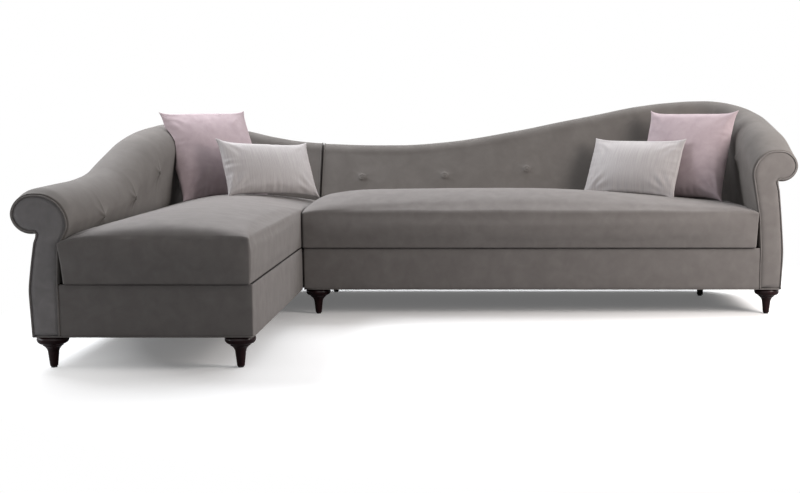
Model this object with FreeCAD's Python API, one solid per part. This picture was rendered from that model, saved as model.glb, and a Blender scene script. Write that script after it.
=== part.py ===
import FreeCAD, Part
import math
import os

# Two-unit sectional sofa: a chaise with a low rolled arm on the left, a long sofa
# with a high rolled arm on the right, and one camel-backed rim over both.
# X runs along the sofa, Y to the rear, Z up. While it is built, X is zero where the
# units meet and Y is zero at the sofa's front.

# Plan of the units, in millimetres
sofa_width = 2183.0
chaise_width = 790.0
chaise_reach = 1125.0
unit_depth = 780.0
corner_radius = 280.0
unit_gap = 3.0

# Heights
leg_height = 122.0
dust_cover_thick = 2.0
rail_height = 164.0
spring_room = 9.0
deck_thick = 14.0
tuck_height = 440.0
lumbar_height = 506.0
bulge_height = 290.0
sofa_peak = 987.0
chaise_peak = 870.0
low_crest = 760.0

# Covers, boards and rails
cover_thick = 12.0
joint_cloth = 4.0
facing_thick = 10.0
board_thick = 18.0
board_inset = 14.0
rail_thick = 25.0
back_rail_thick = 45.0
back_rail_inset = 180.0
deck_lap = 15.0
sill_height = 80.0
plank_thick = 36.0
cross_rail_height = 46.0
cross_rail_thick = 30.0
block_side = 90.0
post_width = 45.0
back_post_thick = 22.0
arm_post_thick = 22.0
corner_post_height = 440.0
corner_post_thick = 21.0
post_drop = 112.0
welt_radius = 3.0

# Padding
arm_width = 102.0
arm_tuck_width = 110.0
arm_board_depth = 60.0
roll_drop = 157.0
back_foot = 190.0
back_lumbar = 160.0
back_board_foot = 150.0
crest_drop = 70.0
board_rake_share = 0.33
lean_share = 0.21
outer_bow = 2.0

# Tufts and their covered buttons
button_radius = 12.5
button_thick = 8.0
tuft_radius = 85.0
tuft_depth = 13.0
button_height_share = 0.81
sofa_back_buttons_x = (210.0, 632.0, 1051.0, 1471.0)
sofa_arm_buttons_y = (340.0,)
chaise_back_buttons_x = (240.0,)
chaise_arm_buttons_y = (-767.0, -355.0, 19.0)

# Legs
leg_inset = 62.0
bun_radius = 56.0
leg_foot_radius = 14.0
glide_height = 6.0
glide_radius = 11.0
rear_leg_side = 32.0
rear_leg_x = 62.0
rear_leg_inset = 69.0
corner_leg_inset = 252.0
corner_leg_from_rear = 195.0
bolt_radius = 4.0
bolt_reach = 30.0

# Springs
wire_radius = 2.0
spring_bar = 44.0
spring_step = 50.0
sofa_springs = 9
chaise_springs = 11
spring_first_share = 0.6
clip_width = 24.0
clip_depth = 12.0

# Sectional connectors
bracket_plate = 3.0
bracket_width = 90.0
bracket_height = 60.0
bracket_bottom = 150.0
bracket_cheek = 8.0
bracket_recess = 12.0
bracket_play = 0.75
connector_lift = 55.0
bracket_places = (150.0, 480.0)

# Cushions and pillows
soft_gap = 0.4
cushion_front = 12.0
cushion_rear_gap = 4.0
cushion_edge_height = 484.0
sofa_crown_height = 558.0
chaise_crown_height = 532.0
cushion_side_gap = 1.5
cushion_tuck = 10.0
cushion_round = 24.0
cushion_end_round = 10.0
cushion_end_inset = 16.0
pillow_side = 480.0
pillow_thick = 145.0
lumbar_width = 495.0
lumbar_tall = 325.0
lumbar_thick = 115.0
pillow_wall_gap = 7.0

# Each pillow's lean to the rear, roll in its own plane, and turn to face the room;
# then the place of the middle of its lower edge: across, in from the unit's rear, and up
chaise_square_angles = (25.3, -1.0, 42.6)
sofa_square_angles = (22.2, 0.0, -34.9)
chaise_lumbar_angles = (30.5, 3.5, 38.2)
sofa_lumbar_angles = (28.2, 0.0, -32.0)
chaise_square_place = (-424.0, 385.0, 502.0)
sofa_square_place = (1768.0, 388.0, 497.0)
chaise_lumbar_place = (-172.0, 477.0, 515.0)
sofa_lumbar_place = (1524.0, 392.0, 516.0)

# One overrun serves every cut
overrun = 5.0

# Heights worked out from the above
rail_bottom = leg_height + dust_cover_thick
rail_top = rail_bottom + rail_height
deck_bottom = rail_top + spring_room
deck_top = deck_bottom + deck_thick
plank_top = rail_bottom + plank_thick
welt_height = rail_bottom - welt_radius
sofa_run = sofa_width - corner_radius
chaise_run = chaise_width - corner_radius
corner_y = unit_depth - corner_radius
back_rail_front = unit_depth - back_rail_inset
deck_rear = back_rail_front + deck_lap
rear_leg_y = unit_depth - rear_leg_inset
corner_leg_y = unit_depth - corner_leg_from_rear
cushion_rear = unit_depth - back_foot - cushion_rear_gap
half_gap = unit_gap / 2
joint_x = half_gap + joint_cloth

# Rim of the arm: distance in from the outer face as a share of the arm's width,
# and drop below the crest as a share of the roll's drop
arm_rim_shares = (
    (1.42, 0.8), (1.1, 0.205), (0.26, 0.0), (-0.36, 0.138),
    (-0.62, 0.47), (-0.415, 0.78), (0.235, 0.915),
)
# Rim of the back: the same points as shares of the back's foot and the crest's drop
back_rim_shares = (
    (0.295, 0.643), (0.19, 0.171), (0.026, 0.0), (-0.147, 0.171),
    (-0.253, 0.643), (-0.26, 0.83), (-0.247, 1.0),
)
arm_bulge_share = -0.06
back_bulge_share = -0.085

# Crest of the rim: place along the run, and height as a share of the unit's peak
sofa_back_shares = (
    (0.0, 0.778), (0.1, 0.771), (0.21, 0.770), (0.33, 0.787), (0.43, 0.812),
    (0.535, 0.849), (0.645, 0.891), (0.75, 0.931), (0.86, 0.972), (0.93, 0.99), (1.0, 0.999),
)
sofa_corner_shares = (
    (1.0, 0.999), (0.83, 1.0), (0.67, 0.994), (0.5, 0.98), (0.33, 0.962), (0.17, 0.942), (0.0, 0.924),
)
sofa_arm_shares = ((1.0, 0.924), (0.59, 0.876), (0.35, 0.846), (0.2, 0.813), (0.1, 0.79), (0.0, 0.768))
chaise_back_shares = ((0.0, 0.885), (0.25, 0.897), (0.5, 0.921), (0.75, 0.955), (1.0, 0.984))
chaise_corner_shares = (
    (1.0, 0.984), (0.83, 0.991), (0.67, 0.998), (0.5, 1.0), (0.33, 1.0), (0.17, 0.998), (0.0, 0.992),
)
chaise_arm_shares = (
    (1.0, 0.992), (0.88, 0.974), (0.78, 0.954), (0.69, 0.925), (0.60, 0.878), (0.515, 0.833),
    (0.435, 0.791), (0.36, 0.769), (0.22, 0.752), (0.1, 0.749), (0.03, 0.745), (0.0, 0.729),
)
# Blend from the arm's section to the back's, at the corner's stations
corner_blend_shares = (1.0, 0.93, 0.77, 0.57, 0.36, 0.18, 0.05)
corner_board_shares = (1.0, 0.9, 0.72, 0.5, 0.28, 0.1, 0.0)
arm_end_blend_share = 0.05

# Turned leg: radius as a share of the bun's, height as a share of the leg's
leg_outline_shares = (
    (0.79, 1.0), (1.0, 0.86), (0.75, 0.72), (0.64, 0.715), (0.64, 0.67), (0.42, 0.57), (0.34, 0.44),
)
rear_leg_foot_share = 0.8

# Cushion: place along its length, and how far its edge and crown have risen
cushion_end_drop = 20.0
sofa_rise_shares = (
    (0.0, 0.0, 0.0), (0.012, 0.5, 0.35), (0.05, 0.85, 0.72), (0.14, 1.0, 0.94),
    (0.3, 1.0, 1.0), (0.5, 1.0, 1.0), (0.6, 1.0, 0.92), (0.67, 1.0, 0.81), (0.76, 1.0, 0.61),
    (0.84, 1.0, 0.42), (0.9, 1.0, 0.27), (0.95, 0.95, 0.16), (0.98, 0.7, 0.1), (1.0, 0.0, 0.0),
)
chaise_rise_shares = (
    (0.0, 0.0, 0.0), (0.012, 0.5, 0.35), (0.05, 0.85, 0.65), (0.14, 1.0, 0.87),
    (0.3, 1.0, 1.0), (0.5, 1.0, 1.0), (0.65, 1.0, 1.0), (0.8, 1.0, 0.97), (0.9, 1.0, 0.9),
    (0.95, 0.85, 0.72), (0.985, 0.5, 0.4), (1.0, 0.0, 0.0),
)

# Pillow: place across it, half height and thickness as shares of the full ones
pillow_shares = (
    (-0.5, 0.5, 0.07), (-0.46, 0.478, 0.3), (-0.38, 0.463, 0.66), (-0.22, 0.455, 0.92),
    (0.0, 0.453, 1.0), (0.22, 0.455, 0.92), (0.38, 0.463, 0.66), (0.46, 0.478, 0.3), (0.5, 0.5, 0.07),
)

Vec = FreeCAD.Vector
parts = {}


def mix(first, second, weight):
    return first * (1 - weight) + second * weight


def box(low_x, high_x, low_y, high_y, low_z, high_z):
    size = Vec(high_x - low_x, high_y - low_y, high_z - low_z)
    return Part.makeBox(size.x, size.y, size.z, Vec(low_x, low_y, low_z))


def across(side, near, far, low_y, high_y, low_z, high_z):
    # A box whose X distances are counted from the joint plane, on the unit's side
    low_x, high_x = sorted((side * near, side * far))
    return box(low_x, high_x, low_y, high_y, low_z, high_z)


def joined(shapes):
    return Part.makeCompound(shapes)


def line(start, end):
    return Part.makeLine(start, end)


def arc(start, middle, end):
    return Part.Arc(start, middle, end).toShape()


def prism(points, depth):
    outline = Part.makePolygon(points + points[:1])
    return Part.Face(outline).extrude(depth)


def station(side, place, inward, crest, blend, board_blend):
    return {"side": side, "place": place, "inward": inward, "crest": crest,
            "blend": blend, "board": board_blend}


def at(spot, depth, height):
    # A point at a depth in from the outer face and a height above the floor
    inward = spot["inward"]
    place = spot["place"]
    return Vec(place.x + inward.x * depth, place.y + inward.y * depth, height)


def back_stations(side, run, shares, peak):
    spots = []
    for place_share, crest_share in shares:
        x = mix(joint_x, run, place_share)
        spots.append(station(side, Vec(side * x, unit_depth, 0), Vec(0, -1, 0),
                             crest_share * peak, 1.0, 1.0))
    return spots


def corner_stations(side, run, shares, peak):
    spots = []
    for (turn_share, crest_share), blend, board in zip(
            shares, corner_blend_shares, corner_board_shares):
        angle = turn_share * math.pi / 2
        outward = Vec(side * math.cos(angle), math.sin(angle), 0)
        place = Vec(side * run, corner_y, 0) + outward * corner_radius
        spots.append(station(side, place, -outward, crest_share * peak, blend, board))
    return spots


def arm_stations(side, width, front, shares, peak):
    spots = []
    for place_share, crest_share in shares:
        y = mix(front + facing_thick, corner_y, place_share)
        spots.append(station(side, Vec(side * width, y, 0), Vec(-side, 0, 0),
                             crest_share * peak, arm_end_blend_share * place_share, 0.0))
    return spots


def rim(spot):
    # Seven points over the crest, from the inner face to the outer one
    points = []
    lean = lean_share * (spot["crest"] - low_crest) * spot["blend"] * spot["board"]
    for (arm_in, arm_fall), (back_in, back_fall) in zip(arm_rim_shares, back_rim_shares):
        depth = mix(arm_in * arm_width, back_in * back_foot, spot["blend"]) - lean
        fall = mix(arm_fall * roll_drop, back_fall * crest_drop, spot["blend"])
        points.append((depth, spot["crest"] - fall))
    return points


def inner_foot(spot):
    return (mix(arm_width, back_foot, spot["blend"]), deck_top)


def inner_tuck(spot):
    return (mix(arm_tuck_width, back_lumbar, spot["blend"]),
            mix(tuck_height, lumbar_height, spot["blend"]))


def board_line(spot, height):
    raked = back_board_foot - board_rake_share * (height - deck_top)
    return mix(arm_board_depth, raked, spot["board"])


def pad_wire(spot):
    top = [at(spot, depth, height) for depth, height in rim(spot)]
    foot = at(spot, *inner_foot(spot))
    tuck = at(spot, *inner_tuck(spot))
    under = rim(spot)[-1][1]
    board_top = at(spot, board_line(spot, under), under)
    board_foot = at(spot, board_line(spot, deck_top), deck_top)
    return Part.Wire([
        line(foot, tuck), line(tuck, top[0]), arc(top[0], top[1], top[2]),
        arc(top[2], top[3], top[4]), arc(top[4], top[5], top[6]),
        line(top[6], board_top), line(board_top, board_foot), line(board_foot, foot),
    ])


def outer_line(spot):
    # The outer face below the rim: its top, bow and bulge, down to the bottom edge
    top = (rim(spot)[-1][0], rim(spot)[-1][1] - soft_gap)
    bulge = mix(arm_bulge_share * arm_width, back_bulge_share * back_foot, spot["blend"])
    bow = (mix(top[0], bulge, 0.5) - outer_bow, mix(top[1], bulge_height, 0.5))
    return [top, bow, (bulge, bulge_height), (0, rail_bottom)]


def cover_wire(spot):
    outer = [at(spot, depth, height) for depth, height in outer_line(spot)]
    inner = [at(spot, depth + cover_thick, height) for depth, height in outer_line(spot)]
    return Part.Wire([
        arc(outer[0], outer[1], outer[2]), line(outer[2], outer[3]), line(outer[3], inner[3]),
        line(inner[3], inner[2]), arc(inner[2], inner[1], inner[0]), line(inner[0], outer[0]),
    ])


def board_wire(spot, bottom):
    top = rim(spot)[-1][1] - soft_gap
    front = [at(spot, board_line(spot, top) - soft_gap, top),
             at(spot, board_line(spot, deck_top) - soft_gap, deck_top),
             at(spot, board_line(spot, deck_top) - soft_gap, bottom)]
    rear = [point + spot["inward"] * -board_thick for point in front]
    points = front + rear[::-1]
    return Part.makePolygon(points + points[:1])


def back_board_wire(spot):
    top = rim(spot)[-1][1] - soft_gap
    front = [at(spot, board_line(spot, top) - soft_gap, top),
             at(spot, board_line(spot, rail_top) - soft_gap, rail_top)]
    rear = [point + spot["inward"] * -board_thick for point in front]
    points = front + rear[::-1]
    return Part.makePolygon(points + points[:1])


def ruled(wires):
    return Part.makeLoft(wires, True, True)


def facing_wire(spot, forward):
    # The scroll outline of an arm's front, set forward of the station
    step = Vec(0, -forward, 0)
    points = [at(spot, depth, height) + step for depth, height in rim(spot)]
    low = [at(spot, depth, height) + step for depth, height in outer_line(spot)]
    foot = at(spot, arm_width, rail_bottom) + step
    tuck = at(spot, *inner_tuck(spot)) + step
    deck = at(spot, *inner_foot(spot)) + step
    return Part.Wire([
        line(foot, deck), line(deck, tuck), line(tuck, points[0]),
        arc(points[0], points[1], points[2]), arc(points[2], points[3], points[4]),
        arc(points[4], points[5], points[6]), arc(points[6], low[1], low[2]),
        line(low[2], low[3]), line(low[3], foot),
    ])


def scroll_board(spot):
    # The arm's front post: a tapered stem with a round head inside the roll
    top = rim(spot)
    notch = top[-1]
    head_height = mix(top[2][1], notch[1], 0.5)
    head_depth = mix(top[0][0], top[4][0], 0.5)
    head = Part.makeCylinder(head_height - notch[1] - board_inset, board_thick,
                             at(spot, head_depth, head_height), Vec(0, 1, 0))
    outline = [(board_inset, rail_bottom), (arm_width - board_inset, rail_bottom),
               (arm_width - board_inset, head_height), (notch[0] + board_inset, head_height),
               (notch[0] + board_inset, notch[1]), (board_inset, bulge_height)]
    stem = prism([at(spot, depth, height) for depth, height in outline], Vec(0, board_thick, 0))
    return stem.fuse(head).removeSplitter()


def cord(wire, start, direction):
    ring = Part.Wire(Part.makeCircle(welt_radius, start, direction))
    return wire.makePipeShell([ring], True, False)


def arm_welt(spot, forward):
    # Piping round the scroll, in lengths that meet at the sewn corners
    edges = facing_wire(spot, forward).Edges
    runs = (edges[0:3], edges[3:6], edges[6:8])
    cords = []
    for run in runs:
        path = Part.Wire(run)
        first = path.OrderedEdges[0]
        start = path.OrderedVertexes[0].Point
        near = first.FirstParameter
        if first.valueAt(near).distanceToPoint(start) > welt_radius:
            near = first.LastParameter
        cords.append(cord(path, start, first.tangentAt(near)))
    return cords


def inner_place(spot, height):
    # Depth of the inner face at a height, and how it leans
    tuck = inner_tuck(spot)
    rise = rim(spot)
    low, high = tuck, rise[0]
    if height > rise[0][1]:
        low, high = rise[0], rise[1]
    slope = (high[0] - low[0]) / (high[1] - low[1])
    return low[0] + slope * (height - low[1]), slope


def between(spots, key, value):
    # A station worked out between two stations of a straight run
    for first, second in zip(spots, spots[1:]):
        start = first["place"][key]
        end = second["place"][key]
        if min(start, end) <= value <= max(start, end):
            weight = (value - start) / (end - start)
            return station(first["side"], first["place"] + (second["place"] - first["place"]) * weight,
                           first["inward"], mix(first["crest"], second["crest"], weight),
                           mix(first["blend"], second["blend"], weight), first["board"])


def tuft(spot):
    # The hollow round a button and the button at its bottom
    height = button_height_share * spot["crest"]
    depth, slope = inner_place(spot, height)
    face = at(spot, depth, height)
    normal = spot["inward"] - Vec(0, 0, 1) * slope
    normal.normalize()
    ball = Part.makeSphere(tuft_radius, face + normal * (tuft_radius - tuft_depth))
    seat = face - normal * (tuft_depth + button_thick / 2)
    button = Part.makeCylinder(button_radius, button_thick, seat, normal)
    return ball, button


def turned_leg(place):
    points = [Vec(radius * bun_radius, 0, height * leg_height) for radius, height in leg_outline_shares]
    foot = Vec(leg_foot_radius, 0, glide_height)
    outline = Part.Wire([
        line(Vec(0, 0, leg_height), points[0]), arc(points[0], points[1], points[2]),
        line(points[2], points[3]), line(points[3], points[4]), arc(points[4], points[5], points[6]),
        line(points[6], foot), line(foot, Vec(0, 0, glide_height)),
        line(Vec(0, 0, glide_height), Vec(0, 0, leg_height)),
    ])
    leg = Part.Face(outline).revolve(Vec(0, 0, 0), Vec(0, 0, 1), 360)
    leg.translate(place)
    return leg


def square_wire(side, height):
    half = side / 2
    points = [Vec(-half, -half, height), Vec(half, -half, height), Vec(half, half, height),
              Vec(-half, half, height)]
    return Part.makePolygon(points + points[:1])


def rear_leg(place):
    leg = ruled([square_wire(rear_leg_side * rear_leg_foot_share, glide_height),
                 square_wire(rear_leg_side, leg_height)])
    leg.translate(place)
    return leg


def bolt(place):
    return Part.makeCylinder(bolt_radius, bolt_reach * 2, place + Vec(0, 0, leg_height - bolt_reach))


def glide(place):
    return Part.makeCylinder(glide_radius, glide_height, place)


def zigzag(length, place, along_x):
    # A flat sinuous spring of an odd number of bars, ending at both rails
    bars = 2 * round((length / spring_step - 1) / 2) + 1
    step = length / bars
    half = spring_bar / 2
    edges = []
    for bar in range(bars + 1):
        x = bar * step
        way = 1 if bar % 2 == 0 else -1
        low = Vec(x, -half * way, 0)
        high = Vec(x, half * way, 0)
        edges.append(line(low, high))
        if bar < bars:
            turn = Vec(x + step / 2, (half + step / 2) * way, 0)
            edges.append(arc(high, turn, high + Vec(step, 0, 0)))
    path = Part.Wire(edges)
    ring = Part.Wire(Part.makeCircle(wire_radius, Vec(0, -half, 0), Vec(0, 1, 0)))
    spring = path.makePipeShell([ring], True, False)
    if not along_x:
        spring.rotate(Vec(0, 0, 0), Vec(0, 0, 1), 90)
    spring.translate(place)
    return spring


def clip(place, along_x):
    # A saddle that holds a spring's end bar on a rail
    reach = (clip_depth, clip_width) if along_x else (clip_width, clip_depth)
    base = Vec(reach[0] / 2, reach[1] / 2, 2 * wire_radius)
    saddle = Part.makeBox(reach[0], reach[1], 4 * wire_radius - soft_gap, place - Vec(base.x, base.y, base.z))
    way = Vec(0, 1, 0) if along_x else Vec(1, 0, 0)
    groove = Part.makeCylinder(wire_radius, reach[1] + reach[0] + overrun,
                               place - way * ((reach[0] + reach[1] + overrun) / 2), way)
    return saddle.cut(groove)


def turned_edge(run, reach, depth, value):
    # How far a cushion goes back beside the rounded corner of the pads
    over = min(max((value - run) / reach, 0), 1)
    return depth * math.sqrt(1 - over * over)


def cushion_wire(point, low, high, floor, edge, crown):
    # A section across a cushion: flat foot, bowed sides, crowned top. Each side is
    # given by its waist and by its upper edge
    waist = mix(floor, edge, 0.5)
    middle = mix(low[0], high[0], 0.5)
    left, right = low[0] + cushion_tuck, high[0] - cushion_tuck
    return Part.Wire([
        line(point(left, floor), point(right, floor)),
        arc(point(right, floor), point(high[0], waist), point(high[1], edge)),
        arc(point(high[1], edge), point(middle, crown), point(low[1], edge)),
        arc(point(low[1], edge), point(low[0], waist), point(left, floor)),
    ])


def cushion_end(point, low, high, edge):
    # The smaller section that rounds off the end of a cushion
    floor = deck_top + cushion_end_inset
    top = edge - 2 * cushion_end_inset
    low = (low[0] + cushion_end_inset, low[1] + cushion_end_inset)
    high = (high[0] - cushion_end_inset, high[1] - cushion_end_inset)
    return cushion_wire(point, low, high, floor, top, top + cushion_tuck)


def cushion_heights(edge_rise, crown_rise, tallest):
    top = cushion_edge_height - cushion_end_drop * (1 - edge_rise)
    return top, mix(top + cushion_tuck, tallest, crown_rise)


def pillow(width, tall, thick):
    # Knife-edge pillow, standing on its lower edge, facing the front
    wires = []
    for place, half, full in pillow_shares:
        x = place * width
        low = Vec(x, 0, tall / 2 - half * tall)
        high = Vec(x, 0, tall / 2 + half * tall)
        bulge = Vec(0, full * thick / 2, 0)
        middle = (low + high) * 0.5
        wires.append(Part.Wire([arc(low, middle - bulge, high), arc(high, middle + bulge, low)]))
    return Part.makeLoft(wires, True, True)


def set_pillow(shape, angles, place):
    lean, roll, turn = angles
    shape.rotate(Vec(0, 0, 0), Vec(0, 1, 0), roll)
    shape.rotate(Vec(0, 0, 0), Vec(1, 0, 0), -lean)
    shape.rotate(Vec(0, 0, 0), Vec(0, 0, 1), turn)
    across_x, from_rear, height = place
    shape.translate(Vec(across_x, unit_depth - from_rear, height))
    return shape


def build_unit(name, side, width, front, back_shares, corner_shares, arm_shares, peak):
    run = width - corner_radius
    back = back_stations(side, run, back_shares, peak)
    corner = corner_stations(side, run, corner_shares, peak)
    arm = arm_stations(side, width, front, arm_shares, peak)
    foremost = arm[-1]
    arm_foot = width - arm_width

    # Front post of the arm, inside the padding
    front_board = scroll_board(foremost)
    parts[name + "_arm_front_board"] = front_board

    # Tufted padding, with the buttons sewn into it
    pads = {
        "inside_back": ruled([pad_wire(spot) for spot in back]),
        "inside_corner": ruled([pad_wire(spot) for spot in corner]),
        "inside_arm": ruled([pad_wire(spot) for spot in arm]).cut(front_board),
    }
    back_x = sofa_back_buttons_x if side > 0 else chaise_back_buttons_x
    arm_y = sofa_arm_buttons_y if side > 0 else chaise_arm_buttons_y
    buttons = []
    tufts = [("inside_back", between(back, 0, side * x)) for x in back_x]
    tufts += [("inside_arm", between(arm, 1, y)) for y in arm_y]
    tufts.append(("inside_corner", corner[3]))
    for pad, spot in tufts:
        ball, button = tuft(spot)
        pads[pad] = pads[pad].cut(ball).cut(button)
        buttons.append(button)
    for pad in pads:
        parts[name + "_" + pad] = pads[pad]
    parts[name + "_buttons"] = joined(buttons)

    # Outside covers, down to the bottom edge
    parts[name + "_outside_back"] = ruled([cover_wire(spot) for spot in back])
    parts[name + "_outside_corner"] = ruled([cover_wire(spot) for spot in corner])
    parts[name + "_outside_arm"] = ruled([cover_wire(spot) for spot in arm])

    # Boards that carry the padding
    straight_board = ruled([back_board_wire(spot) for spot in back])
    bent_board = ruled([board_wire(spot, plank_top) for spot in corner])
    parts[name + "_back_boards"] = joined([straight_board, bent_board])
    inner_arm = [between(arm, 1, front + facing_thick + board_thick)]
    arm_board = ruled([board_wire(spot, plank_top) for spot in arm[:-1] + inner_arm])
    parts[name + "_arm_board"] = arm_board

    # Scroll facing and its piping
    facing = Part.Face(facing_wire(foremost, facing_thick)).extrude(Vec(0, facing_thick, 0))
    parts[name + "_arm_facing"] = facing
    welts = arm_welt(foremost, facing_thick + welt_radius)

    # Seat frame of hardwood rails
    frame_front = front + cover_thick
    rail_front = frame_front + rail_thick
    side_rail = across(side, joint_x, joint_x + rail_thick, rail_front,
                       unit_depth - cover_thick - rail_thick, rail_bottom, rail_top)
    arm_rail = across(side, arm_foot - rail_thick, arm_foot, rail_front, corner_y, rail_bottom, rail_top)
    front_rail = across(side, joint_x, arm_foot, frame_front, rail_front, rail_bottom, rail_top)
    back_rail = across(side, joint_x + rail_thick, run, back_rail_front,
                       back_rail_front + back_rail_thick, rail_bottom, rail_top)
    sill_rear = unit_depth - cover_thick
    sill = across(side, joint_x, run, sill_rear - rail_thick, sill_rear, rail_bottom,
                  rail_bottom + sill_height)
    parts[name + "_seat_rails"] = joined([front_rail, back_rail, side_rail, arm_rail, sill])

    # Base boards under the arm and the rounded corner
    facet = math.pi / (4 * (len(corner) - 1))
    plate_radius = (corner_radius - cover_thick) * math.cos(facet) - soft_gap
    plate = Part.makeCylinder(plate_radius, plank_thick, Vec(side * run, corner_y, rail_bottom))
    quarter = across(side, run, run + corner_radius, corner_y, corner_y + corner_radius,
                     rail_bottom, plank_top)
    plate = plate.common(quarter)
    plank = across(side, arm_foot, width - cover_thick, front + facing_thick + board_thick,
                   corner_y, rail_bottom, plank_top)

    # Posts
    back_posts = []
    for spot in (back[0], back[len(back) // 2], back[-1]):
        tall = spot["crest"] - post_drop
        meet = back_rail_front + back_rail_thick
        board_rear = unit_depth - board_line(spot, tall) + board_thick + soft_gap
        bend = deck_top + (meet - unit_depth + back_board_foot - board_thick - soft_gap) / board_rake_share
        near_x = abs(spot["place"].x) - post_width
        if spot is back[0]:
            near_x = joint_x + rail_thick
        start = min(side * near_x, side * (near_x + post_width))
        points = [Vec(start, meet, rail_bottom), Vec(start, meet + back_post_thick, rail_bottom),
                  Vec(start, meet + back_post_thick, bend), Vec(start, board_rear + back_post_thick, tall),
                  Vec(start, board_rear, tall), Vec(start, meet, bend)]
        back_posts.append(prism(points, Vec(post_width, 0, 0)))
    middle = corner[3]
    post_foot = at(middle, cover_thick + overrun + corner_post_thick / 2, plank_top)
    corner_post = Part.makeBox(corner_post_thick, post_width, corner_post_height,
                               Vec(-corner_post_thick / 2, -post_width / 2, 0))
    corner_post.rotate(Vec(0, 0, 0), Vec(0, 0, 1), side * 45)
    corner_post.translate(post_foot)
    arm_posts = []
    board_rear_x = width - arm_board_depth + board_thick + soft_gap
    for y in (front + facing_thick + board_thick, mix(front, corner_y, 0.5), corner_y - post_width):
        spot = between(arm, 1, y)
        tall = mix(rim(spot)[-1][1], bulge_height, 0.5)
        arm_posts.append(across(side, board_rear_x, board_rear_x + arm_post_thick, y, y + post_width,
                                plank_top, tall))
    parts[name + "_posts"] = joined(back_posts + arm_posts + [corner_post])

    # Corner blocks and cross rails of the seat frame
    blocks = []
    near = joint_x + rail_thick
    far = arm_foot - rail_thick
    for x, way in ((near, 1), (far, -1)):
        corner_point = Vec(side * x, rail_front, rail_bottom)
        points = [corner_point, corner_point + Vec(side * way * block_side, 0, 0),
                  corner_point + Vec(0, block_side, 0)]
        blocks.append(prism(points, Vec(0, 0, plank_thick)))
    gap_front = back_rail_front + back_rail_thick
    rear_block = across(side, near, near + block_side, gap_front + back_post_thick,
                        sill_rear - rail_thick, rail_bottom, plank_top)
    blocks.append(rear_block)
    cross_rails = []
    if side > 0:
        for share in (1 / 3, 2 / 3):
            x = mix(near, far, share)
            cross_rails.append(box(x, x + cross_rail_thick, rail_front, back_rail_front,
                                   rail_bottom, rail_bottom + cross_rail_height))
    else:
        for share in (1 / 3, 2 / 3):
            y = mix(rail_front, back_rail_front, share)
            cross_rails.append(across(side, near, far, y, y + cross_rail_thick,
                                      rail_bottom, rail_bottom + cross_rail_height))
    parts[name + "_cross_rails"] = joined(cross_rails)

    # Springs across the seat, and the clips at both ends
    springs = []
    clips = []
    wire_height = rail_top + 2 * wire_radius
    if side > 0:
        start = frame_front + rail_thick / 2
        length = back_rail_front + clip_depth - start
        for count in range(sofa_springs):
            x = mix(near, far, (count + 1) / (sofa_springs + 1))
            springs.append(zigzag(length, Vec(x, start, wire_height), False))
            clips += [clip(Vec(x, y, wire_height), False) for y in (start, start + length)]
    else:
        start = -far - rail_thick / 2
        length = far - near + rail_thick
        for count in range(chaise_springs):
            y = mix(rail_front, corner_y, (count + spring_first_share) / chaise_springs)
            springs.append(zigzag(length, Vec(start, y, wire_height), True))
            clips += [clip(Vec(x, y, wire_height), True) for x in (start, start + length)]
    parts[name + "_seat_springs"] = joined(springs)
    parts[name + "_spring_clips"] = joined(clips)

    # Deck over the springs, rounded off inside the corner
    deck_points = [Vec(side * joint_x, front + cover_thick, deck_bottom),
                   Vec(side * arm_foot, front + cover_thick, deck_bottom),
                   Vec(side * arm_foot, corner_y, deck_bottom),
                   Vec(side * (run + deck_rear - corner_y), deck_rear, deck_bottom),
                   Vec(side * joint_x, deck_rear, deck_bottom)]
    parts[name + "_seat_deck"] = prism(deck_points, Vec(0, 0, deck_thick))

    # Velvet border over the front rail, and the cloth over the joint side
    parts[name + "_border"] = across(side, joint_x, arm_foot, front, frame_front,
                                     rail_bottom, deck_top - soft_gap)
    cloth_front = frame_front if side > 0 else 0.0
    edge = back[0]
    profile = [at(edge, depth, height) for depth, height in rim(edge)]
    low = [at(edge, depth, height) for depth, height in outer_line(edge)]
    foot = at(edge, *inner_foot(edge))
    tuck = at(edge, *inner_tuck(edge))
    heel = Vec(foot.x, foot.y, rail_bottom)
    back_cloth = Part.Wire([
        line(heel, foot), line(foot, tuck), line(tuck, profile[0]),
        arc(profile[0], profile[1], profile[2]), arc(profile[2], profile[3], profile[4]),
        arc(profile[4], profile[5], profile[6]), arc(profile[6], low[1], low[2]),
        line(low[2], low[3]), line(low[3], heel),
    ])
    back_side = Part.Face(back_cloth).extrude(Vec(-side * joint_cloth, 0, 0))
    seat_side = across(side, half_gap, joint_x, cloth_front, foot.y, rail_bottom, deck_bottom)

    # Piping along the bottom edge: the front, then round the side and the rear
    welt_in = welt_radius
    arm_line = width - welt_in
    front_y = front + welt_in
    first = line(Vec(side * (half_gap + welt_in), front_y, welt_height),
                 Vec(side * arm_line, front_y, welt_height))
    bend_radius = corner_radius - welt_in
    bend_centre = Vec(side * run, corner_y, welt_height)
    slant = math.sqrt(0.5)
    second = [
        line(Vec(side * arm_line, front_y, welt_height), Vec(side * arm_line, corner_y, welt_height)),
        arc(Vec(side * arm_line, corner_y, welt_height),
            bend_centre + Vec(side * slant, slant, 0) * bend_radius,
            Vec(side * run, unit_depth - welt_in, welt_height)),
        line(Vec(side * run, unit_depth - welt_in, welt_height),
             Vec(side * (half_gap + welt_in), unit_depth - welt_in, welt_height)),
    ]
    front_cord = cord(Part.Wire([first]), first.Vertexes[0].Point, Vec(side, 0, 0))
    side_cord = cord(Part.Wire(second), second[0].Vertexes[0].Point, Vec(0, 1, 0))
    base_cords = [front_cord, side_cord.cut(front_cord)]

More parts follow.
